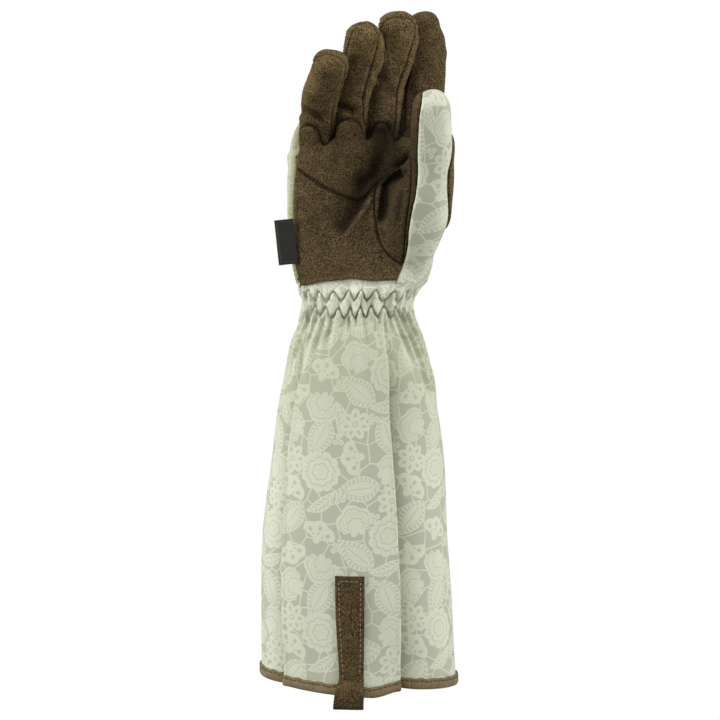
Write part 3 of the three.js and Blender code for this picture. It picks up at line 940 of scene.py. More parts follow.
        # Painted shade: the shade attribute mixes the print towards a dark olive in folds, puckers and
        # seams.
        shaded_tone = shader.mixed(shader.read("shade").ramp(0.0, 1.0) * 0.85, tone, self.shade)
        place = shader.place()
        cloudy = shader.noise(place, 24.0, 2.0)
        colour = shader.mixed(cloudy.ramp(0.3, 0.75) * 0.10, shaded_tone, self.ground)
        x, y, _ = shader.parts(flat)
        weave = (x * 9.0).sin() * (y * 9.0).sin() * 0.5 + 0.5
        normal = shader.bump(weave * 0.5 + shader.noise(place, 1.2) * 0.5, 0.06)
        sheen = {"Sheen_Weight": 0.08, "Sheen_Roughness": 0.5}
        return shader.finish(colour, 0.88, normal, Specular_IOR_Level=0.2, **sheen)


@dataclass(frozen=True)
class RibbedTape:
    """Grosgrain tape: fine ribs across its length. It reads tape_mm, the place along the tape."""

    name: str = "ribbed_tape"
    colour: Colour = (0.250, 0.190, 0.098)
    groove: Colour = (0.100, 0.074, 0.036)
    rib: float = 0.85

    def material(self) -> bpy.types.Material:
        """Builds the material."""
        shader = Shader(self.name)
        along, _, _ = shader.parts(shader.read("tape_mm", "Vector"))
        place = shader.place()
        ribs = (along * (2 * math.pi / self.rib)).sin() * 0.5 + 0.5
        worn = shader.noise(place, 6.0, 3.0)
        # The groove colour comes in between the ribs as painted shade, and in random worn patches.
        share = ribs * 0.22 + worn.ramp(0.3, 0.7) * 0.30 + shader.noise(place, 0.5) * 0.2
        colour = shader.mixed(share.ramp(0.0, 0.9, 0.75, 0.0), self.colour, self.groove)
        normal = shader.bump(ribs, 0.18)
        return shader.finish(colour, 0.85, normal, Sheen_Weight=0.15, Specular_IOR_Level=0.2)


@dataclass(frozen=True)
class Thread:
    """Sewing thread, twisted."""

    name: str
    colour: Colour

    def material(self) -> bpy.types.Material:
        """Builds the material."""
        shader = Shader(self.name)
        fuzz = shader.noise(shader.place(), 0.35, 2.0)
        colour = shader.mixed(fuzz.ramp(0.3, 0.7), tuple(c * 0.6 for c in self.colour), self.colour)
        return shader.finish(colour, 0.7, shader.bump(fuzz, 0.08), Specular_IOR_Level=0.3)


@dataclass(frozen=True)
class SatinLabel:
    """Dark woven ribbon with a plain border and a lozenge weave. It reads label_mm."""

    name: str = "dark_label"
    dark: Colour = (0.0125, 0.0115, 0.0095)
    raised: Colour = (0.040, 0.037, 0.031)

    def material(self) -> bpy.types.Material:
        """Builds the material."""
        shader = Shader(self.name)
        across, up, edge = shader.parts(shader.read("label_mm", "Vector"))
        border = (abs(edge - 1.5) - 0.22).filled(0.12)
        rising = abs(((across + up) * 1.5).sin())
        falling = abs(((across - up) * 1.5).sin())
        lozenge = (rising.least(falling) - 0.12).filled(0.08)
        inner = (2.2 - edge).filled(0.1)
        raised = border.most(lozenge * inner * 0.6)
        twill = ((across + up) * 8.0).sin() * 0.5 + 0.5
        colour = shader.mixed(raised + twill * 0.15, self.dark, self.raised)
        normal = shader.bump(raised + twill * 0.2, 0.12)
        return shader.finish(colour, 0.7, normal, Specular_IOR_Level=0.25)


@dataclass
class Finishes:
    """Every material of the glove, made once."""

    suede: bpy.types.Material
    cloth: bpy.types.Material
    tape: bpy.types.Material
    strap_thread: bpy.types.Material
    tape_thread: bpy.types.Material
    label: bpy.types.Material

    @staticmethod
    def build() -> "Finishes":
        """Makes the materials."""
        return Finishes(
            suede=Suede().material(),
            cloth=LaceCloth().material(),
            tape=RibbedTape().material(),
            strap_thread=Thread("tan_thread", (0.26, 0.18, 0.10)).material(),
            tape_thread=Thread("brown_thread", (0.09, 0.062, 0.028)).material(),
            label=SatinLabel().material(),
        )


# The hand


@dataclass
class Located:
    """Where points lie round a limb: across, behind and along it, and their share of its size."""

    across: Array
    behind: Array
    along: Array
    ratio: Array
    length: float


@dataclass
class Limb:
    """A finger or the thumb: rows of x, y, z, half width and half depth, from root to tip."""

    rows: tuple[Row, ...]
    power: float = 2.35
    blunt: float = 0.82
    samples: int = 48
    root_fade: float = 3.0
    tip_degrees: tuple[float, ...] = (15, 30, 45, 58, 70, 80, 87)

    def __post_init__(self) -> None:
        """Works out the centre line and its directions."""
        table = np.array(self.rows)
        run = run_along(table[:, :3])
        self.run = np.linspace(0.0, run[-1], self.samples)
        full = eased_table(np.column_stack([run, table]), self.run)
        self.centre, self.half = full[:, :3], full[:, 3:]
        self.tangent = unit(np.gradient(self.centre, axis=0))
        self.across = unit(np.array([1.0, 0.0, 0.0]) - self.tangent * self.tangent[:, :1])
        self.behind = np.cross(self.tangent, self.across)

    def tube(self, sides: int = 48) -> Surface:
        """The limb's closed surface, with a blunt rounded tip."""
        turn = np.linspace(0, 2 * np.pi, sides, endpoint=False)
        c, s = np.cos(turn), np.sin(turn)
        reach = rounded_square(c, s, self.power) ** (-1 / self.power)
        dome = self.half[-1].mean()

        def ring(i: int, centre: Array, scale: float) -> Array:
            """A ring round a centre, with the directions and the scaled size of sample i."""
            wide, deep = self.half[i] * scale
            across = np.outer(reach * c * wide, self.across[i])
            return centre + across + np.outer(reach * s * deep, self.behind[i])

        rings = [ring(i, self.centre[i], 1.0) for i in range(self.samples)]
        for lift in np.radians(self.tip_degrees):
            centre = self.centre[-1] + self.tangent[-1] * dome * math.sin(lift)
            rings.append(ring(-1, centre, math.cos(lift) ** self.blunt))
        tip = self.centre[-1] + self.tangent[-1] * dome
        rings.append(np.repeat(tip[None], sides, axis=0))
        rings.insert(0, np.repeat(self.centre[:1], sides, axis=0))
        return Surface.from_grid(np.array(rings), wrap=True)

    def locate(self, points: Array) -> Located:
        """Finds where points lie round the limb.

        Args:
            points: The places, one a row.

        Returns:
            Their places in the limb's own directions.
        """
        nearest = np.empty(len(points), int)
        batch = 20000
        for start in range(0, len(points), batch):
            part = points[start : start + batch]
            gaps = ((part[:, None] - self.centre[None]) ** 2).sum(axis=2)
            nearest[start : start + batch] = gaps.argmin(axis=1)
        offset = points - self.centre[nearest]
        across = (offset * self.across[nearest]).sum(axis=1)
        behind = (offset * self.behind[nearest]).sum(axis=1)
        ahead = (offset * self.tangent[nearest]).sum(axis=1)
        wide, deep = self.half[nearest].T
        ratio = rounded_square(across / wide, behind / deep, self.power) ** (1 / self.power)
        dome = self.half[-1].mean()
        past = np.where(nearest == self.samples - 1, np.maximum(ahead, 0) / dome, 0.0)
        short = np.where(nearest == 0, np.maximum(-ahead, 0) / self.root_fade, 0.0)
        ratio = np.sqrt(ratio**2 + past**2 + short**2)
        return Located(across, behind, self.run[nearest] + ahead, ratio, self.run[-1] + dome)


class Finger(Enum):
    """The five fingers, in order from the little finger's side."""

    LITTLE = 0
    RING = 1
    MIDDLE = 2
    INDEX = 3
    THUMB = 4


LIMBS: dict[Finger, Limb] = {
    Finger.LITTLE: Limb((
        (-23.8, -1, 84, 9.5, 8), (-24.1, -3, 104, 10.4, 9), (-23.6, -9, 118, 10.9, 9.4),
        (-21.4, -19, 130, 11.0, 9.4), (-16.8, -31, 141, 10.6, 9.2), (-15.4, -37, 145, 10.4, 8.8),
    )),
    Finger.RING: Limb((
        (-3.7, 0, 84, 9.8, 8.4), (-3.6, -1, 104, 10.0, 9.2), (-2.8, -5, 118, 9.8, 9.4),
        (-1, -11, 132, 9.8, 9.4), (2.8, -18, 146, 11.6, 9.4), (4.2, -26, 157, 12.2, 9.2),
        (3.8, -29, 160.8, 11.2, 8.8),
    )),
    Finger.MIDDLE: Limb((
        (16, 1, 84, 9.8, 8.4), (16.2, 1, 104, 10.0, 9.2), (16.9, -1, 120, 9.9, 9.4),
        (18.8, -4, 134, 9.8, 9.4), (22.4, -9, 148, 11, 9.4), (24.8, -14, 162, 12.2, 9.2),
        (25, -16.5, 169, 11.9, 8.8),
    )),
    Finger.INDEX: Limb((
        (37.2, 3, 84, 11.4, 8.6), (37.8, 3, 104, 12.0, 9.2), (39.4, 3.5, 120, 12.8, 9.4),
        (41, 4, 135, 12.6, 9.4), (42.2, 3.5, 150, 12.7, 9.4), (41.9, 2, 163, 11.9, 9.2),
        (41.2, 1, 171.5, 10.2, 9.0),
    )),
    Finger.THUMB: Limb((
        (33, -9, 17, 6, 6), (33, -11, 30, 13, 11), (34, -14.5, 44, 17.5, 15), (36.6, -19, 58, 19, 17.5),
        (40.2, -25, 72, 16.8, 17), (43, -31.5, 84, 13.6, 14.5), (44.4, -39, 96, 12.6, 12),
        (44, -45, 108, 12, 11.4), (44, -49, 118, 11.4, 10.8),
    )),
}

# A low shoulder that carries the palm's outer edge up to the little finger.
SHOULDER = Limb((
    (-33, 3, 76, 8, 9), (-33.4, 1.5, 92, 9.4, 9.5), (-31.8, -1.5, 104, 7.6, 8.5),
    (-29.2, -4.5, 111, 5.8, 6.5),
))

# The palm's sections: height, middle, half width and half depth.
PALM = np.array([
    (6, 1.2, 36, 25), (15, 2.6, 39.1, 23.5), (27, 3.2, 43.2, 22), (45, 3.2, 44.8, 20.5),
    (66, 3, 46, 18.5), (84, 3.4, 46, 17), (94, 4, 45.2, 15.5), (99, 4.5, 43.5, 12.5), (102, 5, 41, 8),
    (103.2, 5, 38, 4),
])
PALM_POWER = 2.6
PALM_TOP = 103.2
PALM_ROUND = 36.0

# The limbs' and the palm's rough radii, which turn their shares of size into distances.
ROUGH_RADII = np.array([10.0, 10.0, 10.0, 11.0, 14.0, 20.0])

# The palm's side seam: x and y.
SIDE_SEAM = np.array([(-60, -28), (-36.6, -9.2), (-23.9, -3), (-3, -1), (16.7, 1), (38.8, 3), (60, 3)])

# Where printed cloth meets suede on the thumb: height, front edge, its depth, back edge, its depth.
THUMB_CLOTH = np.array(
    [
        (6, 24.0, -20, 24.5, 60), (17, 24.8, -20, 25.5, 60), (26, 28.2, -20, 29, 60),
        (36, 30.4, -22, 32, 52), (47, 31.0, -26, 39, 26), (58, 32.6, -32, 46, 10),
        (68, 34.7, -36, 52, -4), (80, 35.7, -41, 55, -17), (94, 35.6, -46, 58, -29),
        (109, 36.1, -50, 57, -38), (122, 37.7, -52, 55, -42), (150, 40.0, -56, 55, -46),
    ],
    float,
)
NONE = 99.0

# Seams that frame the fingers' fronts: height, left seam and right seam, NONE where there is none.
FRONTS: dict[Finger, Array] = {
    Finger.LITTLE: np.array([
        (92, -NONE, -16.8), (103, -NONE, -16.5), (115, -NONE, -15.4), (120, -NONE, -14.7),
        (126, -NONE, -12.3), (131, -NONE, -9.9), (138, -NONE, -7.5), (143, -NONE, -6.4),
        (146, -25.6, -7.6), (148.2, -23.6, -10.2), (149.6, -21.2, -13.2), (150.4, -18.6, -16.4),
        (150.6, -17.6, -17.4),
    ]),
    Finger.RING: np.array([
        (92, -NONE, 5.4), (102, -NONE, 5.2), (108, -NONE, 4.9), (118, -NONE, 3.9), (127, -NONE, 3.9),
        (133, -NONE, 5.0), (139, -NONE, 7.1), (146, -9.0, 9.2), (152, -7.4, 11.4), (157, -5.6, 12.6),
        (162, -3.7, 12.7), (165.5, -2.1, 11.6), (167.6, -0.4, 9.9), (168.8, 1.6, 7.4),
        (169.2, 4.3, 4.7),
    ]),
    Finger.MIDDLE: np.array([
        (92, -NONE, 24.0), (110, -NONE, 23.8), (126, -NONE, 24.1), (134, -NONE, 25.1),
        (141, -NONE, 27.2), (145, -NONE, 29.3), (150, -NONE, 30.8), (156, 14.0, 32.6),
        (163, 14.2, 34.9), (168, 14.7, 35.4), (171, 16.0, 34.6), (173, 18.0, 32.8), (174.2, 20.8, 30.4),
        (174.8, 25.3, 25.7),
    ]),
    Finger.INDEX: np.array([
        (92, 28.9, NONE), (116, 28.7, NONE), (127, 28.3, NONE), (136, 28.1, NONE), (142, 28.7, NONE),
        (150, 29.5, NONE), (156, -NONE, NONE), (220, -NONE, NONE),
    ]),
}

# The seam that sets a narrow strip apart from the thumb's inner side: height and x.
THUMB_STRIP = np.array(
    [(6, 24), (20, 25.5), (27, 27.6), (35, 28.6), (53, 29.4), (65, 31.2), (78, 32.0), (130, 32.0)]
)

# The suede's lower edge on the palm: x and height.
SUEDE_HEM = np.array([
    (-60, 13.4), (-33.5, 13.4), (-28, 14.6), (-22, 16.1), (-10, 17.2), (-3, 18.2), (4, 17.2),
    (10, 16.7), (25, 17.2), (60, 17.2),
])

# Outlines seen from the front, as x and z.
PALM_PATCH = np.array([
    (-38, 88), (-36.8, 98), (-33.2, 109), (-28, 110.8), (-23.7, 107.8), (-21.8, 101), (-19.3, 98.8),
    (-16.4, 100.2), (-12.9, 106), (-10.6, 112.2), (-4.1, 114.7), (1.4, 111.4), (3.7, 105), (5.1, 101.6),
    (7.0, 103), (9.4, 108.4), (13.4, 112.6), (18.6, 110.6), (22.2, 104.8), (24.8, 101.6), (28, 106),
    (34, 111), (42, 111), (49, 106), (50, 97), (32.2, 89.9), (24.7, 84.9), (14.1, 76.7), (8.8, 71.5),
    (5, 67.5), (1.2, 66.2), (-4.1, 66.8), (-16.9, 72.2), (-24.5, 76.7), (-32, 82),
])
THENAR = np.array([
    (32.1, 84.8), (23.1, 81.3), (17.1, 78.8), (13.3, 75.8), (11.4, 71.3), (10.7, 65.3), (11.0, 57.8),
    (13.3, 43.5), (16.3, 36.0), (20.9, 30.7), (27.7, 26.4), (60, 14), (78, 50), (70, 86),
])
THENAR_TOP = 84.0


@dataclass(frozen=True)
class Crease:
    """A hollow or, with a depth below 0, a ridge in the suede.

    Its line is x and z as seen from the front. Its flank on the left of the line's way is before
    wide, and the one on the right is after wide. A lip stands up beyond the flank on the left.
    """

    line: tuple[tuple[float, float], ...]
    depth: float
    before: float
    after: float
    lip: float = 0.0
    shade: float = 0.0
    ends: float = 5.0

    def on_palm(self) -> bool:
        """Whether it starts below the fingers' roots, and so keeps off the fingers."""
        finger_roots = 90.0
        return self.line[0][1] < finger_roots

    def over_web(self) -> bool:
        """Whether it starts at the thumb's web, and so fades on the thumb's own wall."""
        web_side, web_top = 38.0, 98.0
        return self.line[0][0] > web_side and self.line[0][1] < web_top


CREASES: tuple[Crease, ...] = (
    Crease(
        ((-17.5, 112.2), (-22.1, 114.2), (-27, 116.4), (-31.2, 118), (-37, 120.4)),
        *(2.3, 1.7, 3.2, 0.9, 0.45),
    ),
    Crease(((-17, 121.4), (-24, 122.6), (-31, 124.8)), 0.8, 2.0, 2.6, 0.3, 0.1),
    Crease(((0.5, 118), (-3.3, 119.1), (-7, 121), (-12.5, 123.6)), 2.2, 1.8, 2.6, 0.8, 0.5, 4.0),
    Crease(((8, 125), (3, 126.5), (-3, 129)), 0.7, 2.0, 2.6, 0.2, 0.1),
    Crease(((19, 136), (15.6, 138.3), (10, 142)), 1.1, 2.2, 2.8, 0.4, 0.2),
    Crease(((26, 128), (21, 130.2), (14, 130.6)), 1.2, 2.2, 2.8, 0.3, 0.2),
    Crease(((46, 131), (38, 129.6), (30, 130.4)), 0.8, 2.2, 2.8, 0.2, 0.1),
    Crease(((31, 145), (24, 147.5)), 0.7, 2.0, 2.6, 0.2, 0.1),
    Crease(
        ((16, 114), (16.8, 104), (16.6, 94), (15.0, 86), (11.2, 79.4), (4, 75), (-4, 73)),
        *(4.0, 6.0, 6.5, 0.0, 0.62, 8.0),
    ),
    Crease(((7, 69.5), (2.4, 62), (-1.8, 55.6), (-5.6, 50.3), (-11, 43)), 2.8, 1.7, 9.0, 0.9, 0.42, 7.0),
    Crease(
        ((44, 87), (34, 84), (27.5, 81), (21.5, 78.7), (17.6, 74), (16.1, 65.3), (14.7, 55.8), (13.1, 49)),
        *(2.4, 2.2, 1.5, 0.0, 0.4, 7.0),
    ),
    Crease(
        ((44, 90), (34, 86.6), (27, 83.6), (20.4, 81), (15.0, 75.6), (13.4, 66), (13.0, 56)),
        *(-1.1, 1.6, 1.6),
    ),
    Crease(((40, 96), (33, 92.4), (26, 88), (20, 83.2), (15.5, 79)), 0.9, 1.4, 2.2, 0.2, 0.4),
    Crease(((27, 72), (24.5, 60), (23, 48)), 0.8, 1.8, 2.6, 0.2, 0.2, 6.0),
    Crease(((-30, 60), (-24, 44), (-22, 30)), 0.8, 5.0, 5.0, 0.0, 0.08, 9.0),
)


def beside_line(line: Array, places: Array) -> tuple[Array, Array, float]:
    """Where places lie beside a line of points.

    Args:
        line: The line's points in order, one a row.
        places: The places, one a row.

    Returns:
        Distances, positive on the right of the line's way, how far along it, and its length.
    """
    steps = np.linalg.norm(np.diff(line, axis=0), axis=1)
    run = np.concatenate([[0.0], np.cumsum(steps)])
    nearest = np.full(len(places), np.inf)
    signed, along = np.zeros(len(places)), np.zeros(len(places))
    for number, (start, end) in enumerate(zip(line, line[1:])):
        way = (end - start) / steps[number]
        offset = places - start
        ahead = np.clip(offset @ way, 0, steps[number])
        gap = np.linalg.norm(offset - ahead[:, None] * way, axis=1)
        side = np.sign(offset[:, 0] * way[1] - offset[:, 1] * way[0])
        nearer = gap < nearest
        nearest = np.where(nearer, gap, nearest)
        signed = np.where(nearer, gap * side, signed)
        along = np.where(nearer, run[number] + ahead, along)
    return signed, along, float(run[-1])


@dataclass
class Hand:
    """The hand's whole surface, with the fields that part it into panels."""

    finishes: Finishes
    voxel: float = 0.85
    wall: float = 1.3
    bottom: float = 15.4
    seam_depth: float = 1.0
    seam_reach: float = 1.5
    blend: float = 1.5

    def build(self) -> None:
        """Joins the limbs and the palm into one smooth body and measures it."""
        parts = [limb.tube() for limb in LIMBS.values()] + [SHOULDER.tube(), self._palm()]
        form = Surface.joined(parts).to_object("form", None)
        remesh = form.modifiers.new("remesh", "REMESH")
        remesh.mode, remesh.voxel_size = "VOXEL", self.voxel * MM
        self.body = Surface.from_object(form).relaxed(5, 0.6)
        bpy.data.objects.remove(form)
        log.info("hand form: %d points", len(self.body.points))
        self._measure()
        self._shape()

    def _palm(self) -> Surface:
        """The palm's closed form."""
        sides = 96
        heights = np.concatenate([np.linspace(6, 94, 30), np.linspace(95, PALM_TOP, 12)])
        cx, wide, deep = eased_table(PALM, heights).T
        turn = np.linspace(0, 2 * np.pi, sides, endpoint=False)
        c, s = np.cos(turn), np.sin(turn)
        reach = rounded_square(c, s, PALM_POWER) ** (-1 / PALM_POWER)
        x = cx[:, None] + wide[:, None] * reach * c
        y = deep[:, None] * reach * s
        z = np.repeat(heights[:, None], sides, axis=1)
        return Surface.from_grid(capped(np.stack([x, y, z], axis=2)), wrap=True)

    def _measure(self) -> None:
        """Works out, for each point, its limb and the fields that the seams follow."""
        points = self.body.points
        x, y, z = points.T
        self.places = {finger: limb.locate(points) for finger, limb in LIMBS.items()}
        cx, wide, deep = eased_table(PALM, z).T
        palm_ratio = rounded_square((x - cx) / wide, y / deep, PALM_POWER) ** (1 / PALM_POWER)
        palm_ratio = palm_ratio + np.maximum(z - PALM_TOP, 0) / 2.5
        palm_ratio = np.minimum(palm_ratio, SHOULDER.locate(points).ratio)
        ratios = np.stack([p.ratio for p in self.places.values()] + [palm_ratio])
        apart = (ratios - ratios.min(axis=0)) * ROUGH_RADII[:, None]
        share = np.exp(-apart / self.blend)
        share /= share.sum(axis=0)
        self.share = dict(zip(LIMBS, share))
        self.palm_share = share[-1]
        self.palm_angle = np.arctan2(y / deep, (x - cx) / wide)
        self.front = self._front_field()
        self.rim = self._rim_field()
        self.thumb_cloth = self._thumb_cloth_field()
        self.thenar = self._thenar_field()
        self.strips = self._strip_fields()
        self.patch = inside_outline(rounded_outline(PALM_PATCH), np.stack([x, z], axis=1))
        self.strip_line = x - np.interp(z, *THUMB_STRIP.T)
        self.hem = z - np.where(y < 0, np.interp(x, *SUEDE_HEM.T), self.bottom)
        self.cloth_hem = z - self.bottom

    def _front_field(self) -> Array:
        """How far points lie in front of the side seam."""
        x, y, z = self.body.points.T
        total = np.zeros(len(x))
        raised = smoothstep(104, 116, z)
        for finger, place in self.places.items():
            if finger is Finger.THUMB:
                total += self.share[finger] * 8.0
                continue
            wrapped = 9.0 * smoothstep(place.length - 17, place.length - 7, place.along)
            middle = 1.6 - place.behind + wrapped
            if finger is Finger.LITTLE:
                low = self._palm_front(x, y)
                middle = np.where(place.across < 0, low + (middle - low) * raised, middle)
            total += self.share[finger] * middle
        return total + self.palm_share * self._palm_front(x, y)

    @staticmethod
    def _palm_front(x: Array, y: Array) -> Array:
        """How far palm points lie in front of its side seam."""
        return np.interp(x, *SIDE_SEAM.T) - y

    def _rim_field(self) -> Array:
        """How far finger points lie inside the seams that frame each finger's front."""
        x, _, z = self.body.points.T
        total = 9.0 * (self.palm_share + self.share[Finger.THUMB])
        for finger, seams in FRONTS.items():
            left = np.interp(z, seams[:, 0], seams[:, 1])
            right = np.interp(z, seams[:, 0], seams[:, 2])
            inside = np.minimum(np.minimum(x - left, right - x), 1.5 * (seams[-1, 0] - z))
            inside = np.minimum(inside, 5.0 - self.places[finger].behind)
            total += self.share[finger] * np.clip(inside, -12, 12)
        return total

    def _thumb_cloth_field(self) -> Array:
        """How far points lie within the thumb's printed side."""
        x, y, z = self.body.points.T
        edge, depth, back, back_depth = eased_table(THUMB_CLOTH, z).T
        run, rise = back - edge, back_depth - depth
        slant = ((x - edge) * rise - (y - depth) * run) / np.maximum(np.hypot(run, rise), 1e-6)
        return np.minimum(np.minimum(x - edge, slant), back_depth - y)

    def _thenar_field(self) -> Array:
        """How far suede points lie within the thumb's own panel."""
        x, _, z = self.body.points.T
        drawn = np.clip(inside_outline(rounded_outline(THENAR), np.stack([x, z], axis=1)), -3.4, 3.4)
        own = (self.share[Finger.THUMB] - 0.5) * 6.8
        return drawn + (own - drawn) * smoothstep(THENAR_TOP - 2.0, THENAR_TOP + 2.0, z)

    def _strip_fields(self) -> dict[str, Array]:
        """How far points lie within each strip between two fingers, by the fingers' names."""
        x, y, z = self.body.points.T
        fields = {}
        away, web_bottom = -9.0, 95.0
        order = [Finger.LITTLE, Finger.RING, Finger.MIDDLE, Finger.INDEX]
        for left, right in zip(order, order[1:]):
            total = away * (1 - self.share[left] - self.share[right] - self.palm_share)
            for finger, turn in ((left, 1), (right, -1)):
                place = self.places[finger]
                own = np.minimum(-self.rim, 4.4 - place.behind)
                own = np.minimum(own, turn * place.across - 1.0)
                own = np.minimum(own, place.length - 7.0 - place.along)
                total += self.share[finger] * own
            a, b = LIMBS[left].rows[1], LIMBS[right].rows[1]
            web = np.minimum(x - a[0] - 0.4 * a[3], b[0] - 0.4 * b[3] - x)
            depth = y - (a[1] + b[1]) / 2
            web = np.minimum(np.minimum(web, 3.6 - depth), depth + 6.5)
            total += self.palm_share * np.minimum(web, z - web_bottom)
            fields[f"{left.name}_{right.name}".lower()] = total
        return fields

    def _shape(self) -> None:
        """Presses creases, hollows and wrinkles into the body, and notes how shaded they are."""
        thumb_middle = 88.0
        suede = smoothstep(-0.5, 1.5, self.front) * smoothstep(0.5, -0.5, self.thumb_cloth)
        bare = suede * smoothstep(-1.0, 4.0, self.front)
        low_thumb = self.share[Finger.THUMB] * (self.body.points[:, 2] < thumb_middle)
        near_palm = np.clip(self.palm_share * 1.6 + low_thumb, 0, 1)
        creases, shade = self._creases(bare, near_palm)
        push = self._lumps(suede) + creases + self._hollows(suede, bare * near_palm)
        self.shade = np.clip(shade + self._shadows(bare), 0, 1)
        self.body = self.body.moved(self.body.spread(push, 1))

    def _lumps(self, suede: Array) -> Array:
        """Soft broad lumps all over, and smaller ones on the suede."""
        points = self.body.points
        small = 0.55 * grain_noise(points, 7.5, 9.7) + 0.20 * grain_noise(points, 3.6, 5.3)
        return 0.75 * grain_noise(points, 17.0, 3.1) + small * suede

    def _creases(self, bare: Array, near_palm: Array) -> tuple[Array, Array]:
        """What the creases do to the surface.

        Args:
            bare: 1 on suede that faces the front, and 0 off it.
            near_palm: 1 on the palm and the thumb's lower half, and 0 off them.

        Returns:
            How far they push each point out, and how much they shade it.
        """
        x, y, z = self.body.points.T
        flat = np.stack([x, z], axis=1)
        push, shade = np.zeros(len(x)), np.zeros(len(x))
        for crease in CREASES:
            gap, along, length = beside_line(np.array(crease.line, float), flat)
            begun = smoothstep(-0.5, crease.ends, along)
            ends = begun * smoothstep(length + 0.5, length - crease.ends, along)
            dip = ends * hump(gap, np.where(gap < 0, crease.before, crease.after))
            lip = ends * hump(gap + 2.0 * crease.before, crease.before)
            reach = bare * near_palm if crease.on_palm() else bare
            if crease.over_web():
                reach = reach * smoothstep(-42.0, -22.0, y)
            push += reach * (crease.lip * lip - 1.25 * crease.depth * dip)
            shade += reach * 1.35 * crease.shade * dip
        return push, shade

    def _little_side(self) -> Array:
        """1 on the cloth wall below the little finger, and 0 away from it."""
        x, _, z = self.body.points.T
        return smoothstep(-27, -37, x) * smoothstep(124, 114, z) * smoothstep(0.6, -0.4, self.front)

    def _hollows(self, suede: Array, palm: Array) -> Array:
        """How far the wavy seam side, the cupped palm and the gathered root push points out.

        Args:
            suede: 1 on suede, and 0 off it.
            palm: 1 on the palm's bare front, and 0 off it.

        Returns:
            Distances, below 0 for hollows.
        """
        x, _, z = self.body.points.T
        seam_side = hump(self.front + 3.0, 3.0) * (self.front < 0.5) * (self.thumb_cloth < 0)
        waves = 0.30 * np.sin(z * 2.2 + 1.3 * np.sin(z * 0.37)) * seam_side
        cup = 1.6 * hump(np.hypot((x + 4) / 1.4, z - 54), 24.0) * palm
        puckers = np.cos(self.palm_angle * 9.0 + 0.8) + 0.5 * np.cos(self.palm_angle * 17.0)
        gathers = (0.75 - 0.45 * suede) * puckers * smoothstep(34, 15, z)
        bulge = 1.6 * hump(z - 114, 13.0) - 1.5 * smoothstep(92.5, 96.5, z)
        return waves - cup + gathers + bulge * self._little_side()

    def _shadows(self, bare: Array) -> Array:
        """How much painted shade points get apart from the creases, where less light falls on them.

        Args:
            bare: 1 on suede that faces the front, and 0 off it.

        Returns:
            Shades from 0 up.
        """
        x, _, z = self.body.points.T
        web = 0.42 * hump(np.hypot((x - 20) / 12.0, (z - 95) / 24.0), 1.0)
        fingers = 1 - self.palm_share - self.share[Finger.THUMB]
        shares = np.sort(np.stack([self.share[f] for f in Finger if f is not Finger.THUMB]), axis=0)
        between = shares[-2] * fingers * smoothstep(98, 104, z) * smoothstep(0.2, 0.45, shares[-2])
        below_patch = hump(self.patch + 0.4, 0.85) * (self.patch < 0.6) * (self.thenar < 0)
        outside = 0.75 * below_patch * smoothstep(34, 29, x)
        wall = 0.40 * smoothstep(-18, -8, self.front) + 0.55 * smoothstep(-9, -1, self.front)
        upright = 0.46 * smoothstep(134, 96, z)
        limbs = 0.20 * self.share[Finger.THUMB] + 0.34 * self.share[Finger.INDEX]
        return 1.1 * between + wall * self._little_side() + (web + outside + upright + limbs) * bare

    def cloth_place(self) -> Array:
        """The place of each point on the printed cloth, in millimetres."""
        z = self.body.points[:, 2]
        across = self.palm_share * PALM_ROUND * self.palm_angle
        up = self.palm_share * z
        for finger, place in self.places.items():
            turn = np.arctan2(place.behind, place.across)
            radius, start = (14.0, (22.0, 6.0)) if finger is Finger.THUMB else (10.5, (0.0, 0.0))
            middle = PALM_ROUND * math.pi / 2 - LIMBS[finger].rows[1][0]
            across += self.share[finger] * (middle * 0.7 + radius * turn + start[0])
            up += self.share[finger] * (place.along + LIMBS[finger].rows[0][2] + start[1])
        return np.stack([across + 300.0, up + 400.0, np.zeros(len(z))], axis=1)

    def open_panel(self, worth: Array, hem: Array) -> Surface:
        """Cuts one panel from the body, as a single face that knows its distance from its seams.

        Args:
            worth: How far each point lies inside the panel.
            hem: How far each point lies above the panel's lower edge.

        Returns:
            The panel's outer face.
        """
        values = {
            "cloth_mm": self.cloth_place(),
            "shade": self.shade,
            "edge": self.body.true_distance(worth),
        }
        body = Surface(self.body.points, self.body.faces, values)
        return body.kept_where(np.minimum(worth, hem))

    def panel(self, worth: Array, hem: Array) -> Surface:
        """Cuts one panel, turns its seam edges in and gives it its wall.

        Args:
            worth: How far each point lies inside the panel.
            hem: How far each point lies above the panel's lower edge.

        Returns:
            The panel as a closed wall.
        """
        cut = self.open_panel(worth, hem)
        edge = np.maximum(cut.values.pop("edge"), 0)
        turned = 1 - np.clip(edge / self.seam_reach, 0, 1)
        push = 0.25 * hump(edge - 2.3, 1.1) - self.seam_depth * (1 - np.sqrt(1 - turned**2))
        cut.values["shade"] = np.clip(cut.values["shade"] + 0.5 * hump(edge, 0.45), 0, 1)
        return cut.moved(push).wall(self.wall)

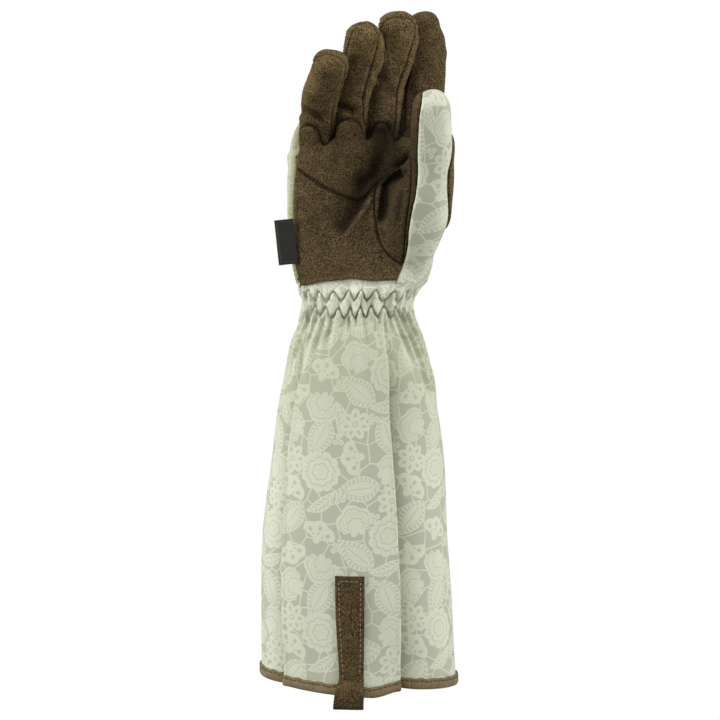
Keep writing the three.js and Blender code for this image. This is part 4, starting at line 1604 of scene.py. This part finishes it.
    def panels(self) -> None:
        """Makes and fits every panel of the hand."""
        strips = np.max(list(self.strips.values()), axis=0)
        suede = np.minimum(self.front, -self.thumb_cloth)
        outer = np.minimum(np.minimum(suede, -self.thenar), -strips)
        thumb = np.minimum(suede, self.thenar)
        sheets = (
            ("suede_palm", "palm_panel", np.minimum(outer, self.rim)),
            ("finger_edges", "palm_panel", np.minimum(outer, -self.rim)),
            ("suede_thumb", "thumb_palm", np.minimum(thumb, -self.strip_line)),
            ("thumb_strip", "thumb_palm", np.minimum(thumb, self.strip_line)),
        )
        for name, node, worth in sheets:
            piece = self.panel(worth, self.hem).to_object(name, self.finishes.suede)
            fitted(piece, Slot.SUEDE, node)
        thumb_cloth = np.minimum(self.thumb_cloth, self.front)
        back = np.minimum(-self.front, -strips)
        cloths = (("cloth_thumb", "thumb_back", thumb_cloth), ("cloth_back", "back_panel", back))
        for name, node, worth in cloths:
            piece = self.panel(worth, self.cloth_hem).to_object(name, self.finishes.cloth)
            fitted(piece, Slot.CLOTH, node)
        for pair, worth in self.strips.items():
            strip = self.panel(worth, self.hem).to_object(f"finger_strip_{pair}", self.finishes.suede)
            fitted(strip, Slot.SUEDE, f"fourchette_{pair}")
        self._patches()
        self._stitches()

    def _patches(self) -> None:
        """Makes the second layers of suede over the palm and the thumb."""
        palm = np.minimum(np.minimum(self.patch, self.front - 2.0), -self.thenar - 0.5)
        palm = np.minimum(np.minimum(palm, -self.thumb_cloth), self.rim + 0.6)
        self._layer(palm, "palm_patch", "palm_pad")
        y, z = self.body.points[:, 1], self.body.points[:, 2]
        up = z - 82.0
        out = y + 24.0 + np.where(up > 0, 0.12, 0.42) * up
        oval = (1 - np.hypot(up / np.where(up > 0, 29.0, 35.0), out / 17.0)) * 17.0
        guard = np.minimum(oval, self.body.points[:, 0] - 38.0)
        guard = np.where(self.share[Finger.THUMB] + self.palm_share * (z < 70) > 0.5, guard, -5.0)
        self._layer(guard, "thumb_patch", "thumb_guard")

    def _layer(self, worth: Array, name: str, node: str) -> None:
        """Lays a rounded layer of suede over the body.

        Args:
            worth: How far each point lies inside the layer.
            name: The piece's name.
            node: The solid that it stands for.
        """
        cut = self.open_panel(worth, self.hem)
        edge = np.maximum(cut.values.pop("edge"), 0)
        rise = 2.1 * np.sqrt(1 - (1 - np.clip(edge / 2.3, 0, 1)) ** 2) - 0.3
        cut.values["shade"] = np.clip(cut.values["shade"] + 0.8 * hump(edge, 0.6), 0, 1)
        fitted(cut.moved(rise).wall(1.1).to_object(name, self.finishes.suede), Slot.SUEDE, node)

    def _stitches(self) -> None:
        """Sews the suede's lower edge down with a row of small stitches."""
        tree = BVHTree.FromPolygons(self.body.points.tolist(), self.body.faces.tolist())
        path, outward = [], []
        for x in np.linspace(-31, 24, 160):
            height = float(np.interp(x, *SUEDE_HEM.T)) + 1.7
            hit, normal, _, _ = tree.ray_cast(Vector((x, -80.0, height)), Vector((0, 1, 0)))
            if hit:
                path.append(hit)
                outward.append(normal)
        line = stitch_line(np.array(path), np.array(outward), 1.5, 0.75, 0.2)
        fitted(line.to_object("suede_hem_stitches", self.finishes.strap_thread), Slot.SUEDE)


# The wrist and the cuff


@dataclass(frozen=True)
class Fold:
    """A long fold: its valley at the wrist and the hem in degrees, its depths, and its two sides."""

    top: float
    hem: float
    depth_top: float
    depth_hem: float
    steep: float
    gentle: float
    ridge_before: bool


@dataclass(frozen=True)
class Pleat:
    """A short pleat below the wrist: where it starts and ends, in degrees and height, and its depth."""

    start: tuple[float, float]
    end: tuple[float, float]
    depth: float
    width: float


@dataclass
class Cuff:
    """The puckered wrist, the long cuff, its hem tape, its pull loop and their stitches."""

    hand: Hand
    finishes: Finishes
    top: float = 20.5
    side_top: float = 15.35
    split: float = -7.8
    hem: float = -232.0
    hem_slope: float = -0.08
    wall: float = 1.2
    upper_row: float = 7.6
    lower_row: float = -2.5
    upper_count: int = 23
    lower_count: int = 27
    zigzag: float = 2.5
    sections: tuple[Row, ...] = (
        (-240, 0.9, 61.2, 45.6, 2.0), (-233, 0.9, 61.0, 45.5, 2.0), (-160, -0.6, 58.8, 44.0, 2.0),
        (-100, -0.3, 54.4, 41.0, 2.0), (-60, 0.3, 49.1, 37.5, 2.0), (-36, 1.0, 44.4, 34.0, 2.0),
        (-20, 0.4, 39.8, 30.0, 2.0), (-8, 0.5, 34.2, 26.0, 2.05), (2.5, 0.8, 33.0, 24.4, 2.15),
        (10, 1.6, 35.0, 23.6, 2.4), (15, 2.6, 38.6, 23.4, 2.6), (21, 2.8, 40.8, 22.6, 2.6),
    )
    folds: tuple[Fold, ...] = (
        Fold(25.5, 27.0, 3.0, 8.6, 0.42, 8, True),
        Fold(-54, -50.5, 1.5, 6.5, 0.6, 8, False),
        Fold(118, 122, 1.5, 4.5, 2.0, 12, True),
        Fold(178, 172, 1.5, 4.0, 2.0, 14, False),
        Fold(-122, -126, 1.5, 4.5, 2.0, 14, True),
    )
    pleats: tuple[Pleat, ...] = (
        Pleat((-9, -5), (-6, -18), 3.2, 1.9),
        Pleat((-16, -5), (-17, -14), 1.4, 2.0),
        Pleat((-60, -6), (-67, -38), 2.6, 2.6),
        Pleat((-47, -6), (-52, -46), 2.2, 2.6),
        Pleat((-35, -6), (-39, -32), 1.8, 2.4),
        Pleat((-25, -6), (-28, -26), 1.4, 2.4),
        Pleat((4, -5), (5, -16), 1.5, 2.0),
        Pleat((14, -6), (16, -22), 1.6, 2.2),
        Pleat((42, -6), (52, -40), 2.6, 2.4),
        Pleat((52, -6), (66, -58), 2.8, 2.8),
        Pleat((63, -6), (79, -60), 2.4, 2.8),
        Pleat((76, -6), (92, -46), 1.8, 3.0),
        Pleat((-74, -6), (-82, -50), 2.2, 3.0),
        Pleat((-90, -6), (-97, -44), 1.8, 3.0),
        Pleat((140, -6), (146, -50), 2.0, 3.4),
        Pleat((-150, -6), (-156, -44), 2.0, 3.4),
        Pleat((104, -6), (110, -36), 1.6, 3.2),
        Pleat((-112, -6), (-116, -38), 1.6, 3.2),
        Pleat((168, -6), (170, -34), 1.6, 3.2),
    )

    def __post_init__(self) -> None:
        """Measures how far the hand stands out from the wrist's sections where they meet."""
        body = self.hand.body
        tree = BVHTree.FromPolygons(body.points.tolist(), body.faces.tolist())
        level = self.side_top + 0.3
        self.turns = np.arange(-180.0, 181.0, 1.0)
        far = 30.0
        reaches = []
        for degrees in self.turns:
            face, outward = self._section(np.array([degrees]), np.array([level]))
            start, way = face[0] + outward[0] * far, -outward[0]
            hit, _, _, length = tree.ray_cast(Vector(start), Vector(way))
            reaches.append(far - length if hit else 0.0)
        self.reaches = np.array(reaches)

    def _section(self, degrees: Array, z: Array) -> tuple[Array, Array]:
        """The bare sections, before any fold or pucker.

        Args:
            degrees, z: Angles round from the front, and heights.

        Returns:
            Their points and the directions out of them.
        """
        table = eased_table(np.array(self.sections), z.ravel())
        cx, wide, deep, power = (column.reshape(z.shape) for column in table.T)
        turn = np.radians(degrees)
        s, c = np.sin(turn), np.cos(turn)
        reach = rounded_square(s, c, power) ** (-1 / power)
        outward = unit(np.stack([s / wide, -c / deep, np.zeros_like(s)], axis=-1))
        return np.stack([cx + wide * reach * s, -deep * reach * c, z], axis=-1), outward

    def _under_suede(self, degrees: Array) -> Array:
        """1 where the suede covers the wrist's top edge, and 0 where cloth meets cloth."""
        return smoothstep(-64, -58, degrees) * smoothstep(37, 32, degrees)

    def _row_line(self, degrees: Array, upper: bool) -> tuple[Array, Array]:
        """An elastic row's zigzag.

        Args:
            degrees: Angles round from the front.
            upper: Whether it is the upper row.

        Returns:
            Its heights, and -1 to 1 from its lows to its peaks.
        """
        level, count = (self.upper_row, self.upper_count) if upper else (self.lower_row, self.lower_count)
        pointed = 0.7
        wander = 2.2 * np.sin(np.radians(degrees * 3 + 40 * upper)) + 1.4 * np.sin(np.radians(degrees * 7))
        phase = np.radians(degrees + wander) * count
        swing = np.arcsin(pointed * np.sin(phase)) / math.asin(pointed)
        lift = 0.7 * np.sin(np.radians(degrees * 5 + 80 * upper))
        return level + self.zigzag * swing + lift, swing

    def _pucker(self, degrees: Array, z: Array) -> Array:
        """How far the gathered cloth stands out from the wrist.

        Args:
            degrees, z: Angles round from the front, and heights.

        Returns:
            Distances outwards, one for each angle and height.
        """
        high, high_swing = self._row_line(degrees, True)
        low, low_swing = self._row_line(degrees, False)
        crest_above, crest_mid_top = (1 - high_swing) / 2, (1 + high_swing) / 2
        crest_mid_low, crest_below = (1 - low_swing) / 2, (1 + low_swing) / 2
        share = np.clip((high - z) / np.maximum(high - low, 1.0), 0, 1)
        middle = crest_mid_top * (1 - share) + crest_mid_low * share
        fade_up = smoothstep(17.0, 10.5, z)
        fade_down = smoothstep(-26.0, -4.0, z) * 0.85 + 0.15 * smoothstep(-60, -20, z)
        crest = np.where(z > high, crest_above * fade_up, np.where(z > low, middle, crest_below * fade_down))
        uneven = 0.8 + 0.3 * np.sin(np.radians(degrees * 4 + 25)) + 0.15 * np.sin(np.radians(degrees * 11))
        groove = 1.7 * hump((z - high) * 0.72, 0.85) + 1.7 * hump((z - low) * 0.68, 0.85)
        under = 0.5 * hump(z - high + 1.5, 0.9) + 0.5 * hump(z - low + 1.5, 0.9)
        fine = np.sin(np.radians(degrees * 61 + 30 * np.sin(z / 3.0)))
        fine = 0.22 * (fine + 0.7 * np.sin(np.radians(degrees * 97 + 50)))
        fine = fine * smoothstep(-14.0, -6.0, z) * smoothstep(16.0, 11.0, z)
        return 2.7 * crest * uneven - groove - under + fine

    def _fold(self, degrees: Array, z: Array) -> Array:
        """How far the long folds and the pleats take the cloth in.

        Args:
            degrees, z: Angles round from the front, and heights.

        Returns:
            Distances inwards, one for each angle and height.
        """
        down = np.clip((self.split - z) / (self.split - self.hem), 0, 1)
        total = np.zeros(np.broadcast(degrees, z).shape)
        for fold in self.folds:
            valley = fold.top + (fold.hem - fold.top) * down + 1.2 * np.sin(z / 31.0 + fold.top)
            gap = signed_degrees(degrees - valley)
            side = gap if fold.ridge_before else -gap
            grown = fold.depth_top + (fold.depth_hem - fold.depth_top) * smoothstep(0.03, 0.34, down)
            grown = grown * smoothstep(2.0, -12.0, z)
            step = 1 / (1 + np.exp(-np.clip(side / fold.steep, -30, 30)))
            fall = np.exp(-np.maximum(side, 0) / fold.gentle)
            total += grown * step * fall - 0.11 * grown * hump(side + 4 * fold.steep, 3.5 * fold.steep)
        for pleat in self.pleats:
            (a0, z0), (a1, z1) = pleat.start, pleat.end
            share = np.clip((z0 - z) / (z0 - z1), 0, 1)
            gap = signed_degrees(degrees - (a0 + (a1 - a0) * share))
            ends = smoothstep(z0 + 4, z0 - 2, z) * smoothstep(z1 - 6, z1 + 16, z)
            wide = pleat.width * (1 + 0.8 * share)
            total += ends * pleat.depth * (hump(gap, wide) - 0.6 * hump(gap - 1.9 * wide, wide))
        return total

    def surface(self, degrees: Array, z: Amount, out: Amount = 0.0) -> Array:
        """Points of the cuff's outer face.

        Args:
            degrees: Angles round from the front, towards +X.
            z: Heights, before the hem's slant.
            out: How far outside the face.

        Returns:
            Points in millimetres, one for each angle and height.
        """
        degrees, z = np.broadcast_arrays(np.asarray(degrees, float), np.asarray(z, float))
        face, outward = self._section(degrees, z)
        turn = np.radians(degrees)
        sway = 0.5 * np.sin(z / 26.0 + 3 * turn) + 0.35 * np.sin(z / 13.0 + 5 * turn + 1.0)
        push = out + self._pucker(degrees, z) - self._fold(degrees, z) + sway * smoothstep(-10, -50, z)
        wrapped = signed_degrees(degrees)
        met = np.interp(wrapped, self.turns, self.reaches) - 1.7 * self._under_suede(wrapped)
        joined = smoothstep(9.0, self.side_top, z)
        push = push * (1 - joined) + (met + out) * joined
        x, y = np.moveaxis((face + push[..., None] * outward)[..., :2], -1, 0)
        share = np.clip((self.split - z) / (self.split - self.hem), 0, 1) ** 2
        lift = 4.8 * smoothstep(7, 27, wrapped) * smoothstep(165, 30, wrapped)
        return np.stack([x, y, z + (self.hem_slope * x + lift) * share], axis=-1)

    def _grid(self, heights: Array, columns: int, flat_at: float) -> Surface:
        """A stretch of the cuff that carries its place on the flat cloth and its painted shade.

        Args:
            heights: Its rows, from below.
            columns: How many points go round.
            flat_at: The height above which the cloth keeps its width there.

        Returns:
            The outer face.
        """
        degrees = np.linspace(-180, 180, columns, endpoint=False)
        grid_z, grid_a = np.meshgrid(heights, degrees, indexing="ij")
        lower = (self.top - self.side_top) * (1 - self._under_suede(grid_a))
        grid_z = grid_z - lower * smoothstep(8.0, self.top, grid_z)
        grid = self.surface(grid_a, grid_z)
        spread = self.surface(grid_a, np.minimum(grid_z, flat_at))
        steps = np.linalg.norm(np.diff(spread[:, :, :2], axis=1, append=spread[:, :1, :2]), axis=2)
        run = np.cumsum(steps, axis=1) - steps
        run -= run[:, columns // 2][:, None]
        cloth = np.stack([run + 200.0, grid_z + 400.0, np.zeros_like(run)], axis=2)
        # Painted shade: darker in the hollows between the puckers and on the cuff's top below the wrist.
        depth = 0.24 * np.clip((0.3 - self._pucker(grid_a, grid_z)) / 1.8, 0, 1)
        depth += 0.34 * smoothstep(-120, -30, grid_z) * smoothstep(6, -6, grid_z)
        return Surface.from_grid(grid, True, {"cloth_mm": cloth, "shade": depth})

    def cloth(self) -> None:
        """Makes the puckered wrist and the long cuff."""
        wrist = self._grid(np.linspace(self.split + 0.05, self.top, 66), 560, -60.0)
        wrist_piece = wrist.wall(self.wall).to_object("puckered_wrist", self.finishes.cloth)
        fitted(wrist_piece, Slot.CLOTH, "wrist_gather")
        heights = np.concatenate([np.linspace(self.hem, -60, 64), np.linspace(-58.5, self.split, 44)])
        cuff = self._grid(heights, 400, -60.0)
        cuff_piece = cuff.wall(self.wall).to_object("cuff_cloth", self.finishes.cloth)
        fitted(cuff_piece, Slot.CLOTH, "gauntlet_cuff")

    def tape(self) -> None:
        """Makes the tape folded round the hem, and its line of stitches."""
        degrees = np.linspace(-180, 180, 720, endpoint=False)
        gap = 0.15
        inside, lining = -self.wall - 1.4, -self.wall - gap
        profile = [
            (gap, 5.2), (0.75, 5.45), (1.15, 5.0), (1.0, 3.9), (0.85, 3.5), (1.25, 3.0), (1.45, 1.5),
            (1.4, 0.0), (1.0, -1.1), (0.0, -1.5), (inside * 0.5, -1.55), (inside, -1.1),
            (inside - 0.3, 0.0), (inside - 0.2, 4.6), (inside + 0.5, 5.0), (lining, 4.4),
            (lining, -0.35), (gap, -0.35),
        ]
        base = self.surface(degrees, self.hem)
        wave = 0.22 * np.sin(np.radians(degrees * 47)) + 0.18 * np.sin(np.radians(degrees * 29 + 50))
        stitched_rise, wavy_above = 3.72, 2
        rings = []
        for out, rise in profile:
            ring = self.surface(degrees, self.hem, out)
            ring[:, 2] = base[:, 2] + rise + wave * (rise > wavy_above)
            rings.append(ring)
        grid = np.array(rings[::-1] + rings[-1:])
        along = np.repeat(run_along(base)[None], len(grid), axis=0)
        height = grid[:, :, 2] - base[None, :, 2]
        tape_mm = np.stack([along, height, np.zeros_like(along)], axis=2)
        tape = Surface.from_grid(grid, True, {"tape_mm": tape_mm})
        fitted(tape.to_object("hem_tape", self.finishes.tape), Slot.BINDING, "hem_binding")
        path = self.surface(degrees, self.hem, 1.0)
        path[:, 2] = base[:, 2] + stitched_rise + wave
        outward = self.surface(degrees, self.hem, 2.0) - path
        outward[:, 2] = 0
        line = stitch_line(path, outward, 2.5, 0.7, 0.26)
        fitted(line.to_object("hem_stitches", self.finishes.tape_thread), Slot.BINDING)

    def front_degrees(self, x: float, z: float) -> float:
        """The angle whose point has a given x on the front at a height."""
        degrees = np.linspace(-25, 25, 201)
        xs = self.surface(degrees, z)[:, 0]
        return float(np.interp(x, xs, degrees))

    def loop(self) -> None:
        """Makes the suede pull loop and the two lines of stitches down it."""
        strap = Strap(self)
        fitted(strap.surface().to_object("loop_strap", self.finishes.suede), Slot.SUEDE, "pull_loop")
        fitted(strap.stitches().to_object("loop_stitches", self.finishes.strap_thread), Slot.SUEDE)


def stitch_line(path: Array, outward: Array, length: float, gap: float, thick: float) -> Surface:
    """Separate stitches along a line, each a short bent bar.

    Args:
        path: The line's points, close together.
        outward: The direction out of the cloth at each point.
        length: A stitch's length.
        gap: The space between stitches.
        thick: The thread's radius.

    Returns:
        All the stitches as one surface.
    """
    run = run_along(path)
    outward = unit(outward)
    starts = np.arange(0.5, run[-1] - length, length + gap)
    shares = np.linspace(0, 1, 6)
    sink = thick * (1 - 2.2 * np.sin(shares * np.pi) ** 0.6)
    size = thick * np.clip(np.sin(shares * np.pi) * 1.6 + 0.25, 0, 1)
    sides = 6
    turn = np.linspace(0, 2 * np.pi, sides, endpoint=False)
    stitches = []
    for start in starts:
        at = start + shares * length
        centre = np.stack([np.interp(at, run, path[:, i]) for i in range(3)], 1)
        up = np.stack([np.interp(at, run, outward[:, i]) for i in range(3)], 1)
        centre = centre - up * sink[:, None]
        side = np.cross(unit(np.gradient(centre, axis=0)), up)
        circle = np.cos(turn)[:, None] * side[:, None] + np.sin(turn)[:, None] * up[:, None]
        rings = centre[:, None] + size[:, None, None] * circle
        stitches.append(Surface.from_grid(capped(rings), wrap=True))
    return Surface.joined(stitches)


@dataclass
class Strap:
    """The suede pull loop: down the cuff's front, round under the hem and up inside."""

    cuff: Cuff
    top: float = -160.0
    thick: float = 1.5
    shade: float = 0.42
    sides: tuple[Row, ...] = (
        (0.0, -13.2, 4.8), (0.20, -12.7, 4.7), (0.40, -11.2, 4.5), (0.47, -10.7, 4.3),
        (0.55, -12.6, 4.6), (0.66, -14.3, 4.2), (0.80, -13.0, 4.6), (1.0, -12.0, 5.0),
    )

    def _path(self) -> Array:
        """The strap's middle line as offset from the cuff's face and height."""
        hem = self.cuff.hem
        knots = np.array([
            (1.1, self.top), (1.1, self.top - 30), (1.1, hem + 13), (1.0, hem + 8.5), (2.2, hem + 6.4),
            (3.6, hem + 4.6), (4.2, hem + 1.0), (4.0, hem - 3.0), (3.2, hem - 6.2), (1.4, hem - 8.0),
            (-1.2, hem - 8.2), (-3.4, hem - 6.6), (-4.3, hem - 3.0), (-4.4, hem + 2.0),
            (-4.2, hem + 7.0), (-2.9, hem + 11.0), (-2.6, hem + 20.0),
        ])
        run = run_along(knots)
        at = np.concatenate([np.linspace(0, run[2], 60), np.linspace(run[2], run[-1], 70)[1:]])
        return eased_table(np.column_stack([run, knots]), at)

    def _sheet(self, shift: float, columns: int, inset: float = 0.0) -> Array:
        """Points over the strap, shifted out from its middle line.

        Args:
            shift: How far towards its outer face.
            columns: How many points across.
            inset: How much narrower than the strap on each side.

        Returns:
            Points as columns by path points by 3.
        """
        path = self._path()
        tangent = unit(np.gradient(path, axis=0))
        offset = path[:, 0] - shift * tangent[:, 1]
        height = path[:, 1] + shift * tangent[:, 0]
        loop = np.arange(len(path)) / (len(path) - 1)
        left, right = eased_table(np.array(self.sides), loop).T
        slant = 2.4 * hump(loop - 0.48, 0.05)
        sheet = []
        for share in np.linspace(0, 1, columns):
            xs = left + inset + (right - left - 2 * inset) * share
            clamped = np.maximum(height, self.cuff.hem + 0.5)
            degrees = np.array([self.cuff.front_degrees(a, b) for a, b in zip(xs, clamped)])
            face = self.cuff.surface(degrees, clamped)
            normal = self.cuff.surface(degrees, clamped, 1.0) - face
            curl = 0.5 * (2 * share - 1) ** 2 * np.clip((loop - 0.45) * 6, 0, 1)
            point = face + normal * (offset + curl)[:, None]
            point[:, 0] = xs
            point[:, 2] = height + slant * (share - 0.5)
            sheet.append(point)
        return np.array(sheet)

    def surface(self) -> Surface:
        """The strap's closed surface, with rounded edges."""
        half = self.thick / 2
        outer = self._sheet(half, 13, 0.5)
        inner = self._sheet(-half, 13, 0.5)
        front, back = self._sheet(half * 0.6, 2, 0.1), self._sheet(-half * 0.6, 2, 0.1)
        ring = np.concatenate([outer, front[1:], back[1:], inner[::-1], back[:1], front[:1]])
        closed = capped(ring.transpose(1, 0, 2))
        made = Surface.from_grid(closed, True, {"shade": np.full(closed.shape[:2], self.shade)})
        ripple = 0.12 * grain_noise(made.points, 5.0, 2.0)
        return Surface(made.points, made.faces[:, ::-1], made.values).moved(ripple)

    def stitches(self) -> Surface:
        """The two lines of tan stitches down the strap, and the line across its top."""
        face = self._sheet(self.thick / 2, 11, 2.4)
        first, last = 3, 62
        lines = []
        for path in (face[0][first:last], face[-1][first:last], face[:, first]):
            outward = np.repeat([[0.0, -1.0, 0.0]], len(path), axis=0)
            lines.append(stitch_line(path, outward, 2.3, 0.8, 0.32))
        return Surface.joined(lines)


@dataclass
class Label:
    """The ribbon folded in half in the side seam, fold outwards."""

    finishes: Finishes
    root: Spot = (-37.9, -13.4, 40.6)
    long: float = 11.1
    high: float = 27.5
    tilt: float = 6.0
    sheet: float = 0.55
    columns: int = 16
    rows: int = 30

    def build(self) -> None:
        """Makes the label."""
        edge = self.sheet * 1.3
        flat = np.linspace(0.6, -self.long + edge, self.columns)
        fold = np.radians(np.linspace(90, 270, 9))[1:-1]
        front = np.full(self.columns, edge)
        depths = np.concatenate([front, edge * np.sin(fold), -front])
        reach = np.concatenate([flat, -self.long + edge + edge * np.cos(fold), flat[::-1]])
        heights = np.linspace(-self.high / 2, self.high / 2, self.rows)
        high, wide = np.meshgrid(heights, reach, indexing="ij")
        edge_gap = np.minimum(self.high / 2 - np.abs(high), wide + self.long)
        label_mm = np.stack([wide, high, edge_gap], axis=2)
        bow = 0.5 * np.sin(high / self.high * np.pi + 0.5) * (wide / self.long) ** 2
        c, s = math.cos(math.radians(self.tilt)), math.sin(math.radians(self.tilt))
        turned = np.stack([wide * c - high * s, depths + bow, wide * s + high * c], axis=2)
        placed = turned + np.array(self.root)
        ribbon = Surface.from_grid(placed, False, {"label_mm": label_mm}).wall(self.sheet)
        fitted(ribbon.to_object("side_label", self.finishes.label), Slot.LABEL, "side_tag")


# The studio


@dataclass
class Studio:
    """The pale floor and backdrop, the soft lights and the camera."""

    eye: Spot = (0.002, -1.0973, 0.0437)
    aim: Spot = (0.002, 0.0, -0.033)
    lens: float = 88.7
    floor: float = -0.262
    glow: float = 0.36
    lit: Spot = (0.0, 0.0, -0.03)
    lights: tuple[tuple[str, Spot, float, float], ...] = (
        ("left", (-1.6, -0.5, 0.3), 1.3, 43.0),
        ("right", (1.6, -0.6, 0.2), 1.3, 43.0),
        ("top", (-0.2, -0.8, 1.7), 1.2, 16.0),
    )

    def build(self) -> None:
        """Places everything."""
        self._camera()
        self._backdrop()
        for name, place, size, power in self.lights:
            self._light(name, place, size, power)
        world = bpy.data.worlds.new("studio")
        world.use_nodes = True
        background = world.node_tree.nodes["Background"]
        background.inputs["Color"].default_value = (1.0, 1.0, 1.0, 1.0)
        background.inputs["Strength"].default_value = self.glow
        bpy.context.scene.world = world
        bpy.context.scene.view_settings.view_transform = "Standard"

    def _camera(self) -> None:
        """Puts the camera at the photograph's viewing angle."""
        data = bpy.data.cameras.new("camera")
        data.lens, data.sensor_width = self.lens, 36.0
        camera = bpy.data.objects.new("camera", data)
        bpy.context.scene.collection.objects.link(camera)
        self._aim(camera, self.eye, self.aim)
        bpy.context.scene.camera = camera

    def _backdrop(self) -> None:
        """Makes the round floor, curved up into a wall on every side."""
        bend = np.radians(np.linspace(0, 90, 13))
        reach = np.concatenate([[1.0], 1200 + 700 * np.sin(bend), [1900.0]])
        heights = np.concatenate([[0.0], 700 - 700 * np.cos(bend), [3200.0]]) + self.floor / MM
        turn = np.linspace(0, 2 * np.pi, 96, endpoint=False)
        x, y = np.outer(reach, np.cos(turn)), np.outer(reach, np.sin(turn))
        z = np.repeat(heights[:, None], len(turn), axis=1)
        material = Shader("studio_white").finish(
            (0.0, 0.0, 0.0),
            1.0,
            Emission_Color=(1.0, 1.0, 1.0, 1.0),
            Emission_Strength=1.0,
            Specular_IOR_Level=0.0,
        )
        grid = np.stack([x, y, z], axis=2)
        backdrop = Surface.from_grid(grid, True).to_object("backdrop", material)
        backdrop.visible_diffuse = False
        backdrop.visible_glossy = False

    def _light(self, name: str, place: Spot, size: float, power: float) -> None:
        """Adds a square soft light that faces the glove."""
        data = bpy.data.lights.new(name, "AREA")
        data.size, data.energy = size, power
        light = bpy.data.objects.new(name, data)
        bpy.context.scene.collection.objects.link(light)
        self._aim(light, place, self.lit)

    @staticmethod
    def _aim(item: bpy.types.Object, place: Spot, target: Spot) -> None:
        """Puts a camera or a light in its place and turns it to a target."""
        item.location = place
        item.rotation_euler = (Vector(target) - Vector(place)).to_track_quat("-Z", "Y").to_euler()


def main() -> None:
    """Builds the glove and the studio."""
    logging.basicConfig(level=logging.INFO, format="%(name)s %(message)s")
    Studio().build()
    finishes = Finishes.build()
    hand = Hand(finishes)
    hand.build()
    hand.panels()
    cuff = Cuff(hand, finishes)
    cuff.cloth()
    cuff.tape()
    cuff.loop()
    Label(finishes).build()


if __name__ == "__main__":
    main()
